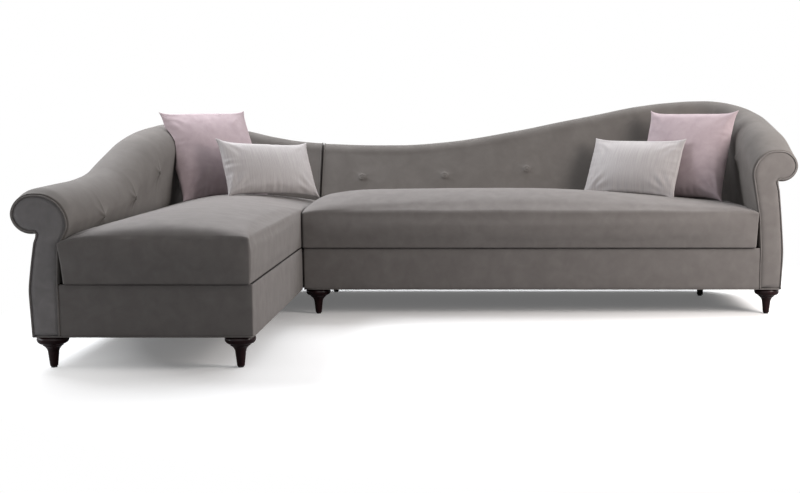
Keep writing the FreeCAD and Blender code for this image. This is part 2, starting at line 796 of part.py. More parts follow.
    # Dust cover under the frame
    inset = 2 * welt_radius + overrun
    dust_points = [Vec(side * (half_gap + inset), front + inset, leg_height),
                   Vec(side * (width - inset), front + inset, leg_height),
                   Vec(side * (width - inset), corner_y, leg_height),
                   Vec(side * run, corner_y, leg_height) + Vec(side * slant, slant, 0)
                   * (corner_radius - inset),
                   Vec(side * run, unit_depth - inset, leg_height),
                   Vec(side * (half_gap + inset), unit_depth - inset, leg_height)]
    dust = prism(dust_points, Vec(0, 0, dust_cover_thick))

    # Legs, bolts and glides
    front_places = [Vec(side * leg_inset, front + leg_inset, 0),
                    Vec(side * (width - arm_width / 2), front + leg_inset, 0)]
    rear_places = [Vec(side * rear_leg_x, rear_leg_y, 0),
                   Vec(side * (width - corner_leg_inset), corner_leg_y, 0)]
    places = front_places + rear_places
    bolts = [bolt(place) for place in places]
    drill = joined(bolts)
    parts[name + "_front_legs"] = joined([turned_leg(place) for place in front_places]).cut(drill)
    parts[name + "_rear_legs"] = joined([rear_leg(place) for place in rear_places]).cut(drill)
    parts[name + "_leg_bolts"] = drill
    parts[name + "_glides"] = joined([glide(place) for place in places])
    parts[name + "_dust_cover"] = dust.cut(drill)
    parts[name + "_leg_blocks"] = joined(blocks + [plate, plank]).cut(drill)
    parts[name + "_piping"] = joined(welts + base_cords)
    parts[name + "_joint_cover"] = joined([back_side, seat_side])


build_unit("sofa", 1, sofa_width, 0.0, sofa_back_shares, sofa_corner_shares, sofa_arm_shares, sofa_peak)
build_unit("chaise", -1, chaise_width, -chaise_reach, chaise_back_shares, chaise_corner_shares,
           chaise_arm_shares, chaise_peak)

# The chaise shows its inner side in front of the sofa, so that side has a border too
chaise_inner = across(-1, half_gap, joint_x, -chaise_reach + cover_thick, -unit_gap,
                      rail_bottom, deck_top - soft_gap)
side_welt_y = -chaise_reach + 2 * welt_radius
side_path = line(Vec(-half_gap - welt_radius, side_welt_y, welt_height),
                 Vec(-half_gap - welt_radius, -unit_gap, welt_height))
parts["chaise_border"] = joined([parts["chaise_border"], chaise_inner])
side_cord = cord(Part.Wire([side_path]), side_path.Vertexes[0].Point, Vec(0, 1, 0))
parts["chaise_piping"] = joined([parts["chaise_piping"], side_cord])

# Drop-in connectors: a pocket on the sofa and a hook on the chaise
pockets = []
hooks = []
windows = []
pocket_inner = joint_x + bracket_recess
slot = bracket_plate + 2 * bracket_play
bracket_top = bracket_bottom + bracket_height
for y in bracket_places:
    shell = box(pocket_inner - 2 * bracket_plate - slot, pocket_inner, y, y + bracket_width,
                bracket_bottom, bracket_top)
    room = box(pocket_inner - bracket_plate - slot, pocket_inner - bracket_plate, y + bracket_cheek,
               y + bracket_width - bracket_cheek, bracket_bottom + bracket_cheek, bracket_top + overrun)
    pockets.append(shell.cut(room))
    hook_y = (y + bracket_cheek + bracket_play, y + bracket_width - bracket_cheek - bracket_play)
    tongue_x = pocket_inner - bracket_plate - bracket_play
    tongue = box(tongue_x - bracket_plate, tongue_x, hook_y[0], hook_y[1],
                 bracket_bottom + 2 * bracket_cheek, bracket_top + bracket_cheek)
    bridge = box(-pocket_inner, tongue_x, hook_y[0], hook_y[1], bracket_top + bracket_cheek - bracket_plate,
                 bracket_top + bracket_cheek)
    plate = box(-pocket_inner, bracket_plate - pocket_inner, hook_y[0], hook_y[1], bracket_bottom,
                bracket_top + bracket_cheek)
    hooks.append(tongue.fuse([bridge, plate]).removeSplitter())
    windows.append(box(-pocket_inner, pocket_inner, y, y + bracket_width, bracket_bottom,
                       bracket_top + bracket_cheek + connector_lift + bracket_plate))
parts["sofa_connector_pockets"] = joined(pockets)
parts["chaise_connector_hooks"] = joined(hooks)
for node in ("sofa_seat_rails", "sofa_joint_cover", "chaise_seat_rails", "chaise_joint_cover"):
    parts[node] = parts[node].cut(joined(windows))

# Seat cushions, crowned, with the rear corner rounded beside the arm
corner_play = 4 * cushion_side_gap
reach_x = corner_radius - arm_tuck_width - corner_play
reach_y = cushion_rear - corner_y - corner_play
seat_floor = deck_top + soft_gap


def arm_side(spots, y):
    # Depths of the waist and the upper edge of a cushion beside an arm. The upper
    # edge also clears the roll at the arm's front, past which the cushion slides
    y = min(max(y, spots[-1]["place"].y), spots[0]["place"].y)
    spot = between(spots, 1, y)
    clear = cushion_side_gap + 2 * welt_radius
    upper = max(inner_place(passed, cushion_edge_height)[0] for passed in (spot, spots[-1]))
    return inner_tuck(spot)[0] + cushion_side_gap, upper + clear


sofa_arm = arm_stations(1, sofa_width, 0.0, sofa_arm_shares, sofa_peak)
sofa_low = half_gap + cushion_end_round
sofa_end = arm_side(sofa_arm, corner_y)
sofa_high = sofa_width - sofa_end[1]
sofa_wires = []
for share, edge_rise, crown_rise in sofa_rise_shares:
    x = mix(sofa_low, sofa_high, share)
    edge, crown = cushion_heights(edge_rise, crown_rise, sofa_crown_height)
    rear = cushion_rear
    if x > sofa_run:
        rear = corner_y + turned_edge(sofa_run, reach_x, reach_y, x)
    front_side = (-cushion_front, cushion_round - cushion_front)
    rear_side = (rear, rear - cushion_round)
    if share == 0:
        end_x = half_gap
        sofa_wires.append(cushion_end(lambda c, z: Vec(end_x, c, z), front_side, rear_side, edge))
    sofa_wires.append(cushion_wire(lambda c, z: Vec(x, c, z), front_side, rear_side,
                                   seat_floor, edge, crown))
end_x = sofa_width - sofa_end[0]
sofa_wires.append(cushion_end(lambda c, z: Vec(end_x, c, z), front_side, rear_side, edge))
parts["sofa_seat_cushion"] = ruled(sofa_wires)

chaise_arm = arm_stations(-1, chaise_width, -chaise_reach, chaise_arm_shares, chaise_peak)
chaise_low = cushion_end_round - chaise_reach - cushion_front
chaise_wires = []
for share, edge_rise, crown_rise in chaise_rise_shares:
    y = mix(chaise_low, cushion_rear - cushion_end_round, share)
    edge, crown = cushion_heights(edge_rise, crown_rise, chaise_crown_height)
    waist, upper = arm_side(chaise_arm, y)
    left_side = (waist - chaise_width, upper - chaise_width)
    if y > corner_y:
        left = chaise_run + turned_edge(corner_y, reach_y, reach_x, y)
        left_side = (-left, upper - waist - left)
    right_side = (-half_gap, -half_gap - cushion_round)
    if share == 0:
        end_y = y - cushion_end_round
        chaise_wires.append(cushion_end(lambda c, z: Vec(c, end_y, z), left_side, right_side, edge))
    chaise_wires.append(cushion_wire(lambda c, z: Vec(c, y, z), left_side, right_side,
                                     seat_floor, edge, crown))
chaise_wires.append(cushion_end(lambda c, z: Vec(c, cushion_rear, z), left_side, right_side, edge))
parts["chaise_seat_cushion"] = ruled(chaise_wires)

# Throw pillows, settled into the cushions they stand on and pressed against the wall
placed_pillows = (
    ("sofa", -1, sofa_square_angles, sofa_square_place, sofa_lumbar_angles, sofa_lumbar_place),
    ("chaise", 1, chaise_square_angles, chaise_square_place, chaise_lumbar_angles,
     chaise_lumbar_place),
)
for name, inward, square_angles, square_place, lumbar_angles, lumbar_place in placed_pillows:
    seat = parts[name + "_seat_cushion"].copy()
    seat.translate(Vec(0, 0, soft_gap))
    square = set_pillow(pillow(pillow_side, pillow_side, pillow_thick), square_angles, square_place)
    for pad in ("_inside_arm", "_inside_corner"):
        wall = parts[name + pad].copy()
        wall.translate(Vec(inward * pillow_wall_gap, -pillow_wall_gap, 0))
        square = square.cut(wall)
    lumbar = set_pillow(pillow(lumbar_width, lumbar_tall, lumbar_thick), lumbar_angles, lumbar_place)
    parts[name + "_square_pillow"] = square.cut(seat)
    parts[name + "_lumbar_pillow"] = lumbar.cut(seat)

# Set the origin on the floor, at the middle of the whole
whole = joined(list(parts.values())).optimalBoundingBox(False, False)
shift = Vec(-(whole.XMin + whole.XMax) / 2, -(whole.YMin + whole.YMax) / 2, 0)
os.makedirs("parts", exist_ok=True)
for node, shape in parts.items():
    shape.translate(shift)
    shape.exportStep("parts/" + node + ".step")
print("origin moved by", shift)
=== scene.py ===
import math
from itertools import product

import bmesh
import bpy
import numpy as np
from mathutils import Matrix, Vector, noise
from mathutils.geometry import delaunay_2d_cdt
from mathutils.kdtree import KDTree


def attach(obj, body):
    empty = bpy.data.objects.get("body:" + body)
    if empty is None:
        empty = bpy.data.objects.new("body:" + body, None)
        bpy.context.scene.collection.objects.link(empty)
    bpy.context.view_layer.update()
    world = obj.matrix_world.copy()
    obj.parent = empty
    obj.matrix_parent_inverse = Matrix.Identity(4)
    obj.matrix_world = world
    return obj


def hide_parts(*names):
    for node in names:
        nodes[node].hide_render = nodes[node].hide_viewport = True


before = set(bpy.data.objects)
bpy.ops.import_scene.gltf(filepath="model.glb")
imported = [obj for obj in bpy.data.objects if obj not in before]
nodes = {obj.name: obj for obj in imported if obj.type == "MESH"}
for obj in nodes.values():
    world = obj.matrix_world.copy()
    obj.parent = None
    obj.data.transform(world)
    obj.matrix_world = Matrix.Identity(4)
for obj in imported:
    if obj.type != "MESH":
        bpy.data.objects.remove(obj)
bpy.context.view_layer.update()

# The sofa's own sizes in millimetres, as in its CAD source. X runs along the sofa from
# the plane where the units meet, Y to the rear from the sofa's front, Z up.
MM = 0.001
ORIGIN = np.array([-696.5, 130.034, 0.0])
# A unit's plan: its depth, its rounded rear corner, and its frame and cloth beside the joint
UNIT_DEPTH, CORNER_RADIUS, CORNER_Y = 780.0, 280.0, 500.0
JOINT_X, HALF_GAP = 5.5, 1.5
BASE, DECK_BOTTOM, DECK_TOP, DECK_REAR = 124.0, 297.0, 311.0, 615.0
# The padded wall: the arm's and the back's depth at the deck and where they tuck in above it, how far
# the arm's roll and the back's rim drop from the crest, and the crest above which the back leans out
ARM_WIDTH, ARM_TUCK, TUCK_Z = 102.0, 110.0, 440.0
BACK_FOOT, BACK_LUMBAR, LUMBAR_Z = 190.0, 160.0, 506.0
ROLL_DROP, CREST_DROP, LOW_CREST = 157.0, 70.0, 760.0
# The outside cover's bulge, its padding, and the arm's front panel
BULGE_Z, COVER, FACING = 290.0, 12.0, 10.0
CUSHION_FRONT, CUSHION_REAR, CUSHION_INSET, EDGE_Z = -15.0, 586.0, 117.0, 486.0
BUTTON_SHARE, BUTTON_R, TUFT_DEPTH = 0.81, 10.0, 13.0
WELT_R, WELT_SEWN = 3.0, 1.4
# Seams round the scroll panel: the wall's roll towards it, and its inset along the stem and the roll
FACE_ROLL, STEM_SEAM, ROLL_SEAM = 5.5, 4.0, 10.0
# Points on the section's line over the rim and on its outer face
OVER_COUNT, OUTER_COUNT = 170, 60

# The rim's section in shares of its own depth and drop: four points to the front, three behind
ARM_RIM = np.array([
    (1.42, .8), (1.1, .205), (.26, 0), (-.36, .138), (-.62, .47), (-.415, .78), (.235, .915)])
BACK_RIM = np.array([
    (.295, .643), (.19, .171), (.026, 0), (-.147, .171), (-.253, .643), (-.26, .83), (-.247, 1)])
ARM_BULGE, BACK_BULGE = -0.06, -0.085
BACK_LEAN = 0.21
# How far the padding, and the board behind it, have turned from the arm's to the back's round the corner
CORNER_BLEND = (.05, .18, .36, .57, .77, .93, 1)
CORNER_BOARD = (0, .1, .28, .5, .72, .9, 1)

# Each unit: its side of the joint, width, front and peak, the places of its buttons, and its crest's
# height as shares of the peak along the back, the corner and the arm
UNITS = {
    "sofa": dict(
        side=1, width=2183.0, front=0.0, peak=987.0, back_x=(210, 632, 1051, 1471), arm_y=(340,),
        back=((0, .778), (.1, .771), (.21, .770), (.33, .787), (.43, .812), (.535, .849), (.645, .891),
              (.75, .931), (.86, .972), (.93, .99), (1, .999)),
        corner=((0, .924), (.17, .942), (.33, .962), (.5, .98), (.67, .994), (.83, 1.0), (1, .999)),
        arm=((0, .768), (.1, .79), (.2, .813), (.35, .846), (.59, .876), (1, .924))),
    "chaise": dict(
        side=-1, width=790.0, front=-1125.0, peak=870.0, back_x=(240,), arm_y=(-767, -355, 19),
        back=((0, .885), (.25, .897), (.5, .921), (.75, .955), (1, .984)),
        corner=((0, .992), (.17, .998), (.33, 1.0), (.5, 1.0), (.67, .998), (.83, .991), (1, .984)),
        arm=((0, .729), (.03, .745), (.1, .749), (.22, .752), (.36, .769), (.435, .791), (.515, .833),
             (.60, .878), (.69, .925), (.78, .954), (.88, .974), (1, .992))),
}

# Seat cushions: height of the crown, and how far it has risen along the length
CUSHIONS = {
    "sofa": (560.0, ((0, 0), (.012, .35), (.05, .72), (.14, .94), (.3, 1), (.5, 1), (.6, .92), (.67, .81),
                     (.76, .61), (.84, .42), (.9, .27), (.95, .16), (.98, .1), (1, 0))),
    "chaise": (534.0, ((0, 0), (.012, .35), (.05, .65), (.14, .87), (.3, 1), (.65, 1), (.8, .97), (.9, .9),
                       (.95, .72), (.985, .4), (1, 0))),
}


# ---------------------------------------------------------------- curves and sections
def smooth_curve(places, values):
    """A curve through the values that never overshoots between two of them."""
    x, y = np.array(places, float), np.array(values, float)
    h = np.diff(x)
    d = np.diff(y) / h
    m = np.zeros(len(x))
    for i in range(1, len(x) - 1):
        if d[i - 1] * d[i] > 0:
            a, b = 2 * h[i] + h[i - 1], h[i] + 2 * h[i - 1]
            m[i] = (a + b) / (a / d[i - 1] + b / d[i])
    m[0], m[-1] = d[0], d[-1]

    def value(s):
        i = np.clip(np.searchsorted(x, s) - 1, 0, len(h) - 1)
        t = (s - x[i]) / h[i]
        return ((1 + 2 * t) * (1 - t) ** 2 * y[i] + t * (1 - t) ** 2 * h[i] * m[i]
                + t * t * (3 - 2 * t) * y[i + 1] + t * t * (t - 1) * h[i] * m[i + 1])
    return value


def columns(*parts):
    """Points from their coordinates, each of which may be one number for all."""
    return np.stack(np.broadcast_arrays(*parts), -1)


def arc_rows(p, q, r, count):
    """Points along the arc from p through q to r, for many arcs at once."""
    a, b = q - p, r - p
    cross = a[:, 0] * b[:, 1] - a[:, 1] * b[:, 0]
    aa, bb = (a ** 2).sum(1), (b ** 2).sum(1)
    middle = columns(b[:, 1] * aa - a[:, 1] * bb, a[:, 0] * bb - b[:, 0] * aa)
    centre = p + middle / (2 * cross)[:, None]
    radius = np.linalg.norm(p - centre, axis=1)
    start = np.arctan2(*(p - centre).T[::-1])
    end = np.arctan2(*(r - centre).T[::-1])
    turn = np.where(cross > 0, (end - start) % (2 * np.pi), -((start - end) % (2 * np.pi)))
    angle = start[:, None] + turn[:, None] * np.linspace(0, 1, count)[None]
    return centre[:, None] + radius[:, None, None] * columns(np.cos(angle), np.sin(angle))


def straight_rows(start, end, count):
    """Points along the line from start to end, for many lines at once."""
    share = np.linspace(0, 1, count)[None, :, None]
    return start[:, None] * (1 - share) + end[:, None] * share


def respaced(line, count):
    """The same line with evenly spaced points."""
    line = np.asarray(line, float)
    reach = np.r_[0, np.cumsum(np.linalg.norm(np.diff(line, axis=0), axis=1))]
    even = np.linspace(0, reach[-1], count)
    return np.stack([np.interp(even, reach, line[:, k]) for k in range(line.shape[1])], 1)


def softened(rows, passes):
    """Section lines with their corners eased, end points kept."""
    for _ in range(passes):
        rows[:, 1:-1] = 0.5 * rows[:, 1:-1] + 0.25 * (rows[:, :-2] + rows[:, 2:])
    return rows


def inset(line, by):
    """A section line, or each of many, moved into the padding by its own amount at each point."""
    slope = np.gradient(line, axis=-2)
    slope /= np.linalg.norm(slope, axis=-1)[..., None]
    return line + columns(-slope[..., 1], slope[..., 0]) * np.asarray(by)[..., None]


class Rim:
    """One unit's upholstered wall, followed from the arm's front, round the corner, to the joint."""

    def __init__(self, side, width, front, peak, back, corner, arm, **buttons):
        self.side, self.width, self.front, self.peak = side, width, front, peak
        self.run = width - CORNER_RADIUS
        self.first = front + FACING
        self.arm = CORNER_Y - self.first
        self.bend = CORNER_RADIUS * math.pi / 2
        self.back = self.run - JOINT_X
        self.length = self.arm + self.bend + self.back
        crest = [(t * self.arm, c) for t, c in arm]
        crest += [(self.arm + t * self.bend, c) for t, c in corner[1:]]
        crest += [(self.arm + self.bend + (1 - t) * self.back, c) for t, c in back[-2::-1]]
        self.crest = smooth_curve([s for s, _ in crest], [c * peak for _, c in crest])
        turns = [self.arm + t * self.bend for t, _ in corner]
        self.blend, self.board = (
            smooth_curve([-20, 0] + turns + [self.length], [0, 0] + list(values) + [1])
            for values in (CORNER_BLEND, CORNER_BOARD))
        self.stops = [self.length - (x - JOINT_X) for x in buttons["back_x"]]
        self.stops += [y - self.first for y in buttons["arm_y"]] + [self.arm + self.bend / 2]

    def plan(self, s):
        """Places on the outer face, and the level direction into the seat."""
        angle = np.clip((s - self.arm) / CORNER_RADIUS, 0, math.pi / 2)
        out = columns(self.side * np.cos(angle), np.sin(angle))
        place = np.array([self.side * self.run, CORNER_Y]) + out * CORNER_RADIUS
        place[:, 1] += np.minimum(s - self.arm, 0)
        place[:, 0] -= self.side * np.maximum(s - self.arm - self.bend, 0)
        return place, -out

    def rims(self, s):
        """The seven points of the rim's section at each place: depth from the outer face, and height."""
        blend = self.blend(s)
        lean = BACK_LEAN * (self.crest(s) - LOW_CREST) * blend * self.board(s)
        arm, back = (1 - blend)[:, None], blend[:, None]
        depth = ARM_RIM[None, :, 0] * ARM_WIDTH * arm + BACK_RIM[None, :, 0] * BACK_FOOT * back
        fall = ARM_RIM[None, :, 1] * ROLL_DROP * arm + BACK_RIM[None, :, 1] * CREST_DROP * back
        return columns(depth - lean[:, None], self.crest(s)[:, None] - fall)

    def over(self, s):
        """The padded line over the rim: from its foot on the deck up to where it tucks in, to the
        roll and over it to the tack line."""
        rim, blend = self.rims(s), self.blend(s)
        foot = columns(ARM_WIDTH + (BACK_FOOT - ARM_WIDTH) * blend, DECK_TOP)
        tuck = columns(ARM_TUCK + (BACK_LUMBAR - ARM_TUCK) * blend, TUCK_Z + (LUMBAR_Z - TUCK_Z) * blend)
        parts = [straight_rows(foot, tuck, 24), straight_rows(tuck, rim[:, 0], 24)]
        parts += [arc_rows(rim[:, i], rim[:, i + 1], rim[:, i + 2], 24) for i in (0, 2, 4)]
        line = np.concatenate(parts[:1] + [part[:, 1:] for part in parts[1:]], 1)
        return softened(np.array([respaced(row, OVER_COUNT) for row in line]), 8)

    def outer(self, s):
        """The outer face from the tack line to the bottom edge."""
        rim, blend = self.rims(s), self.blend(s)
        top = rim[:, 6] - np.array([0, 0.4])
        bulge = ARM_BULGE * ARM_WIDTH * (1 - blend) + BACK_BULGE * BACK_FOOT * blend
        low = columns(bulge, BULGE_Z)
        bow = (top + low) / 2 - np.array([2.0, 0])
        hem = columns(np.zeros(len(s)), BASE)
        line = np.concatenate([arc_rows(top, bow, low, 32), straight_rows(low, hem, 16)[:, 1:]], 1)
        return softened(np.array([respaced(row, OUTER_COUNT) for row in line]), 10)

    def seam_insets(self):
        """How far the facing's seam lies in from the rim and from the outer face, at the arm's front."""
        over = np.interp(np.linspace(0, 1, OVER_COUNT), (0, .1, .3, .8, 1),
                         (5, 5, 8, ROLL_SEAM, ROLL_SEAM))
        outer = np.interp(np.arange(OUTER_COUNT), (0, 5, OUTER_COUNT), (ROLL_SEAM, STEM_SEAM, STEM_SEAM))
        return over, outer

    def placed(self, s, rows):
        """Section rows of depth and height, set at their places on the plan."""
        place, inward = self.plan(s)
        flat = place[:, None] + inward[:, None] * rows[..., :1]
        return np.concatenate([flat, rows[..., 1:]], 2)


RIMS = {name: Rim(**sizes) for name, sizes in UNITS.items()}


# ---------------------------------------------------------------- meshes
def grid_faces(rows, cols, closed=False):
    """Faces of a grid of points, row by row, that may close on itself."""
    i, j = np.meshgrid(np.arange(rows - 1), np.arange(cols if closed else cols - 1), indexing="ij")
    k = (j + 1) % cols
    corners = [i * cols + j, i * cols + k, (i + 1) * cols + k, (i + 1) * cols + j]
    return np.stack(corners, 2).reshape(-1, 4).tolist()


def linked(name, data):
    """An object with this data, in the scene."""
    item = bpy.data.objects.new(name, data)
    bpy.context.scene.collection.objects.link(item)
    return item


def meshed(name, points, faces):
    """An object with a mesh of points in millimetres, its faces turned outwards."""
    mesh = bpy.data.meshes.new(name)
    mesh.from_pydata((points * MM).tolist(), [], faces)
    work = bmesh.new()
    work.from_mesh(mesh)
    bmesh.ops.recalc_face_normals(work, faces=work.faces[:])
    work.to_mesh(mesh)
    work.free()
    return linked(name, mesh)


def made(name, points, faces, material, body, stands_for, slot, fill=None):
    """A piece with its finish, riding on its body in place of the plain solids that it stands for;
    fill is how full a padded piece is, and is not used. Its points are in the CAD source's frame."""
    piece = meshed(name, np.asarray(points).reshape(-1, 3) + ORIGIN, faces)
    piece.data.polygons.foreach_set("use_smooth", [True] * len(piece.data.polygons))
    piece.data.materials.append(material)
    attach(piece, body)
    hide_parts(*stands_for)
    return piece


def swept(rows):
    """A capped tube through rings of points, and its faces."""
    count, ring = rows.shape[:2]
    faces = grid_faces(count, ring, closed=True)
    faces += [list(range(ring)), list(range((count - 1) * ring, count * ring))]
    return rows.reshape(-1, 3), faces


def tube(path, radius, sides=10):
    """A round cord along a path of points."""
    path = np.asarray(path, float)
    along = np.r_[path[1:], path[-1:]] - np.r_[path[:1], path[:-1]]
    along /= np.linalg.norm(along, axis=1)[:, None]
    across = np.cross(along, [0, 0, 1.0])
    for i in np.flatnonzero(np.linalg.norm(across, axis=1) < 0.2):
        across[i] = np.cross(along[i], [0, 1.0, 0])
    for i in range(1, len(path)):
        kept = across[i - 1] - along[i] * (across[i - 1] @ along[i])
        across[i] = kept / np.linalg.norm(kept)
    across[0] /= np.linalg.norm(across[0])
    up = np.cross(along, across)
    angle = (np.arange(sides) * 2 * math.pi / sides)[None, :, None]
    return swept(path[:, None] + radius * (across[:, None] * np.cos(angle) + up[:, None] * np.sin(angle)))


def gathered(parts):
    """Several sets of points and faces as one."""
    points, faces, start = [], [], 0
    for p, f in parts:
        points.append(p)
        faces += [[v + start for v in face] for face in f]
        start += len(p)
    return np.concatenate(points), faces


def fade(distance, width):
    """1 at no distance, and less and less beyond the width."""
    return np.exp(-distance / width)


def ridge(distance, width):
    """A smooth ridge, 1 at no distance on either side."""
    return np.exp(-(distance / width) ** 2)


def ruffled(points, size, height, seed):
    """Small even-handed swells of height over size, along no direction in particular."""
    shift = Vector((seed, 0, 0))
    return np.array([noise.noise(Vector(p) / size + shift) for p in points]) * height


# ---------------------------------------------------------------- finishes
def linear(code):
    """An sRGB hex value as linear colour."""
    channels = [int(code[i:i + 2], 16) / 255 for i in (1, 3, 5)]
    return [c / 12.92 if c <= 0.04045 else ((c + 0.055) / 1.055) ** 2.4 for c in channels] + [1]


def add(tree, kind, links=None, **settings):
    """A node with its settings; links name its inputs and the output, or the node with its first
    output, that feeds each."""
    node = tree.nodes.new("ShaderNode" + kind)
    for key, value in settings.items():
        if hasattr(node, key):
            setattr(node, key, value)
        else:
            node.inputs[key.replace("_", " ")].default_value = value
    for key, source in (links or {}).items():
        tree.links.new(getattr(source, "outputs", [source])[0], node.inputs[key])
    return node


def begun(name, coordinates="Object", **settings):
    """A new material with its shader's settings, its node tree, and the coordinates that it uses."""
    material = bpy.data.materials.new(name)
    material.use_nodes = True
    tree = material.node_tree
    for key, value in settings.items():
        tree.nodes["Principled BSDF"].inputs[key.replace("_", " ")].default_value = value
    return material, tree, add(tree, "TexCoord").outputs[coordinates]


def dressed(material, tone, stops, height=None, strength=0.0, depth_mm=0.0):
    """The material with colours from dark to light over one pattern, and relief from another."""
    tree = material.node_tree
    shader = tree.nodes["Principled BSDF"]
    colour = add(tree, "ValToRGB", {"Fac": tone})
    points = colour.color_ramp.elements
    for point, (place, code) in zip((points[0], points[1]), (stops[0], stops[-1])):
        point.position, point.color = place, linear(code)
    for place, code in stops[1:-1]:
        points.new(place).color = linear(code)
    tree.links.new(colour.outputs[0], shader.inputs["Base Color"])
    if height:
        bump = add(tree, "Bump", {"Height": height}, Strength=strength, Distance=depth_mm * MM)
        tree.links.new(bump.outputs[0], shader.inputs["Normal"])
    return material


def velvet(name, dark, middle, light, nap_mm, sheen, streaked=0.6):
    """Cut-pile velvet, woven then sheared: the pile lies in soft strokes, paler where it leans away
    from the eye, with a bright bloom at the edges and a very fine tooth. On the faces that look
    sideways it is pressed, as far as streaked says, into upright streaks 9 mm apart."""
    material, tree, place = begun(name, Roughness=0.85, Sheen_Weight=sheen, Sheen_Roughness=0.45,
                                  Specular_IOR_Level=0.2, Sheen_Tint=linear(light))
    strokes = add(tree, "TexNoise", {"Vector": place}, Scale=1 / (nap_mm * MM), Detail=5.0,
                  Roughness=0.55, Distortion=0.4)
    upright = add(tree, "Mapping", {"Vector": place}, Scale=(1, 1, 0.07))
    streaks = add(tree, "TexNoise", {"Vector": upright}, Scale=1 / (9 * MM), Detail=2.0)
    normal = add(tree, "NewGeometry").outputs["True Normal"]
    faced = add(tree, "SeparateXYZ", {"Vector": normal})
    sideways = add(tree, "MapRange", {"Value": faced.outputs["X"]}, From_Min=0.8, From_Max=0.98,
                   To_Max=streaked)
    centred = add(tree, "MapRange", {"Value": streaks}, To_Min=-0.5, To_Max=0.5)
    pressed = add(tree, "Math", {0: centred, 1: sideways, 2: strokes},
                  operation="MULTIPLY_ADD")
    # The real pile is 0.1 mm wide; it is drawn at 2.5 mm so that it shows.
    pile = add(tree, "TexNoise", {"Vector": place}, Scale=1 / (2.5 * MM), Detail=2.0)
    nap = add(tree, "Math", {0: pile, 1: strokes}, operation="ADD")
    return dressed(material, pressed, ((0.3, dark), (0.5, middle), (0.72, light)), nap, 0.25, 0.6)


def streaked_weave(name, dark, light, thread_mm, sheen):
    """Viscose and linen weave with thick and thin yarns: fine bright streaks run up the cloth."""
    material, tree, place = begun(name, "UV", Roughness=0.55, Sheen_Weight=sheen, Sheen_Roughness=0.4,
                                  Specular_IOR_Level=0.35)
    drawn = add(tree, "Mapping", {"Vector": place}, Scale=(1, 0.03, 1))
    yarn = add(tree, "TexNoise", {"Vector": drawn}, Scale=1 / (thread_mm * MM),
               Detail=3.0, Roughness=0.7)
    return dressed(material, yarn, ((0.34, dark), (0.66, light)), yarn, 0.5, 0.8)


def plain_cloth(name, dark, light, thread_mm):
    """Plain dark lining cloth: a flat even weave, dull all over, with a slight cloudiness."""
    material, tree, place = begun(name, Roughness=0.9, Specular_IOR_Level=0.2)
    cloud = add(tree, "TexNoise", {"Vector": place}, Scale=9.0, Detail=4.0)
    weave = add(tree, "TexVoronoi", {"Vector": place}, Scale=1 / (thread_mm * MM))
    return dressed(material, cloud, ((0.35, dark), (0.65, light)), weave, 0.3, 0.4)


def timber(name, dark, light, grain_mm, roughness, coat, stretch):
    """Wood with its grain along one axis: long darker pores between paler bands. Stain evens it out,
    and lacquer lays a clear gloss over it."""
    material, tree, place = begun(name, Roughness=roughness, Coat_Weight=coat, Coat_Roughness=0.12,
                                  Specular_IOR_Level=0.15)
    drawn = add(tree, "Mapping", {"Vector": place}, Scale=stretch)
    bands = add(tree, "TexNoise", {"Vector": drawn}, Scale=1 / (grain_mm * MM),
                Detail=6.0, Roughness=0.65, Distortion=0.6)
    return dressed(material, bands, ((0.32, dark), (0.68, light)), bands, 0.15, 0.5)


def zinc_steel(name):
    """Spring steel and pressed brackets, bright zinc plated: grey and slightly cloudy, in its gloss too."""
    material, tree, place = begun(name, Metallic=1.0, Roughness=0.35)
    cloud = add(tree, "TexNoise", {"Vector": place}, Scale=120.0, Detail=3.0)
    rough = add(tree, "MapRange", {"Value": cloud}, To_Min=0.28, To_Max=0.45)
    tree.links.new(rough.outputs[0], tree.nodes["Principled BSDF"].inputs["Roughness"])
    return dressed(material, cloud, ((0.3, "#8e9094"), (0.7, "#b9bbbe")))


def nylon(name):
    """Injection-moulded nylon glide: dark, satin, with a fine moulded grain."""
    material, tree, place = begun(name, Roughness=0.5)
    grain = add(tree, "TexNoise", {"Vector": place}, Scale=900.0)
    return dressed(material, grain, ((0.3, "#1c1c1d"), (0.7, "#262627")), grain, 0.1, 0.3)


GREY_VELVET = velvet("grey_cut_pile_velvet", "#6d6967", "#716d6b", "#767270", 55, 0.2)
# The padded walls and their buttons take a darker copy of the grey velvet, with larger clouds in its pile
# and no streaks: the darker tone is painted shade for the walls, which turn away from the light above.
SHADED_WALL_VELVET = velvet("grey_cut_pile_velvet_painted_shade", "#625e5b", "#66625f", "#6b6764", 75, 0.2, 0.0)
# The chaise's scroll panel takes a paler copy of the grey velvet with a little more sheen: the paler tone is
# painted light, for light from the left falling on the panel.
LIT_FACING_VELVET = velvet("grey_cut_pile_velvet_painted_light", "#7c7979", "#838080", "#8b8888", 55, 0.25)
ROSE_VELVET = velvet("dusty_rose_velvet", "#a19296", "#a8999d", "#afa0a4", 50, 0.2)
SILVER_WEAVE = streaked_weave("silver_slub_weave", "#989393", "#a8a3a2", 4, 0.1)
DECK_CLOTH = plain_cloth("black_cotton_deck_cloth", "#2b2928", "#353231", 2)
DUST_CLOTH = plain_cloth("spunbonded_dust_cloth", "#0e0e0e", "#171717", 3)
ESPRESSO = timber("espresso_lacquered_beech", "#14080a", "#2b1416", 9, 0.32, 0.16, (1, 1, 0.12))
BLACK_WOOD = timber("black_painted_hardwood", "#121111", "#1c1a1a", 12, 0.5, 0.1, (1, 1, 0.15))
FRAME_WOOD = timber("planed_hardwood", "#9c7a50", "#c3a173", 14, 0.7, 0.0, (0.08, 0.6, 1))
PLYWOOD = timber("birch_plywood", "#b08f60", "#d3b587", 18, 0.65, 0.0, (0.1, 0.1, 1))
STEEL = zinc_steel("zinc_plated_steel")
NYLON = nylon("moulded_nylon")

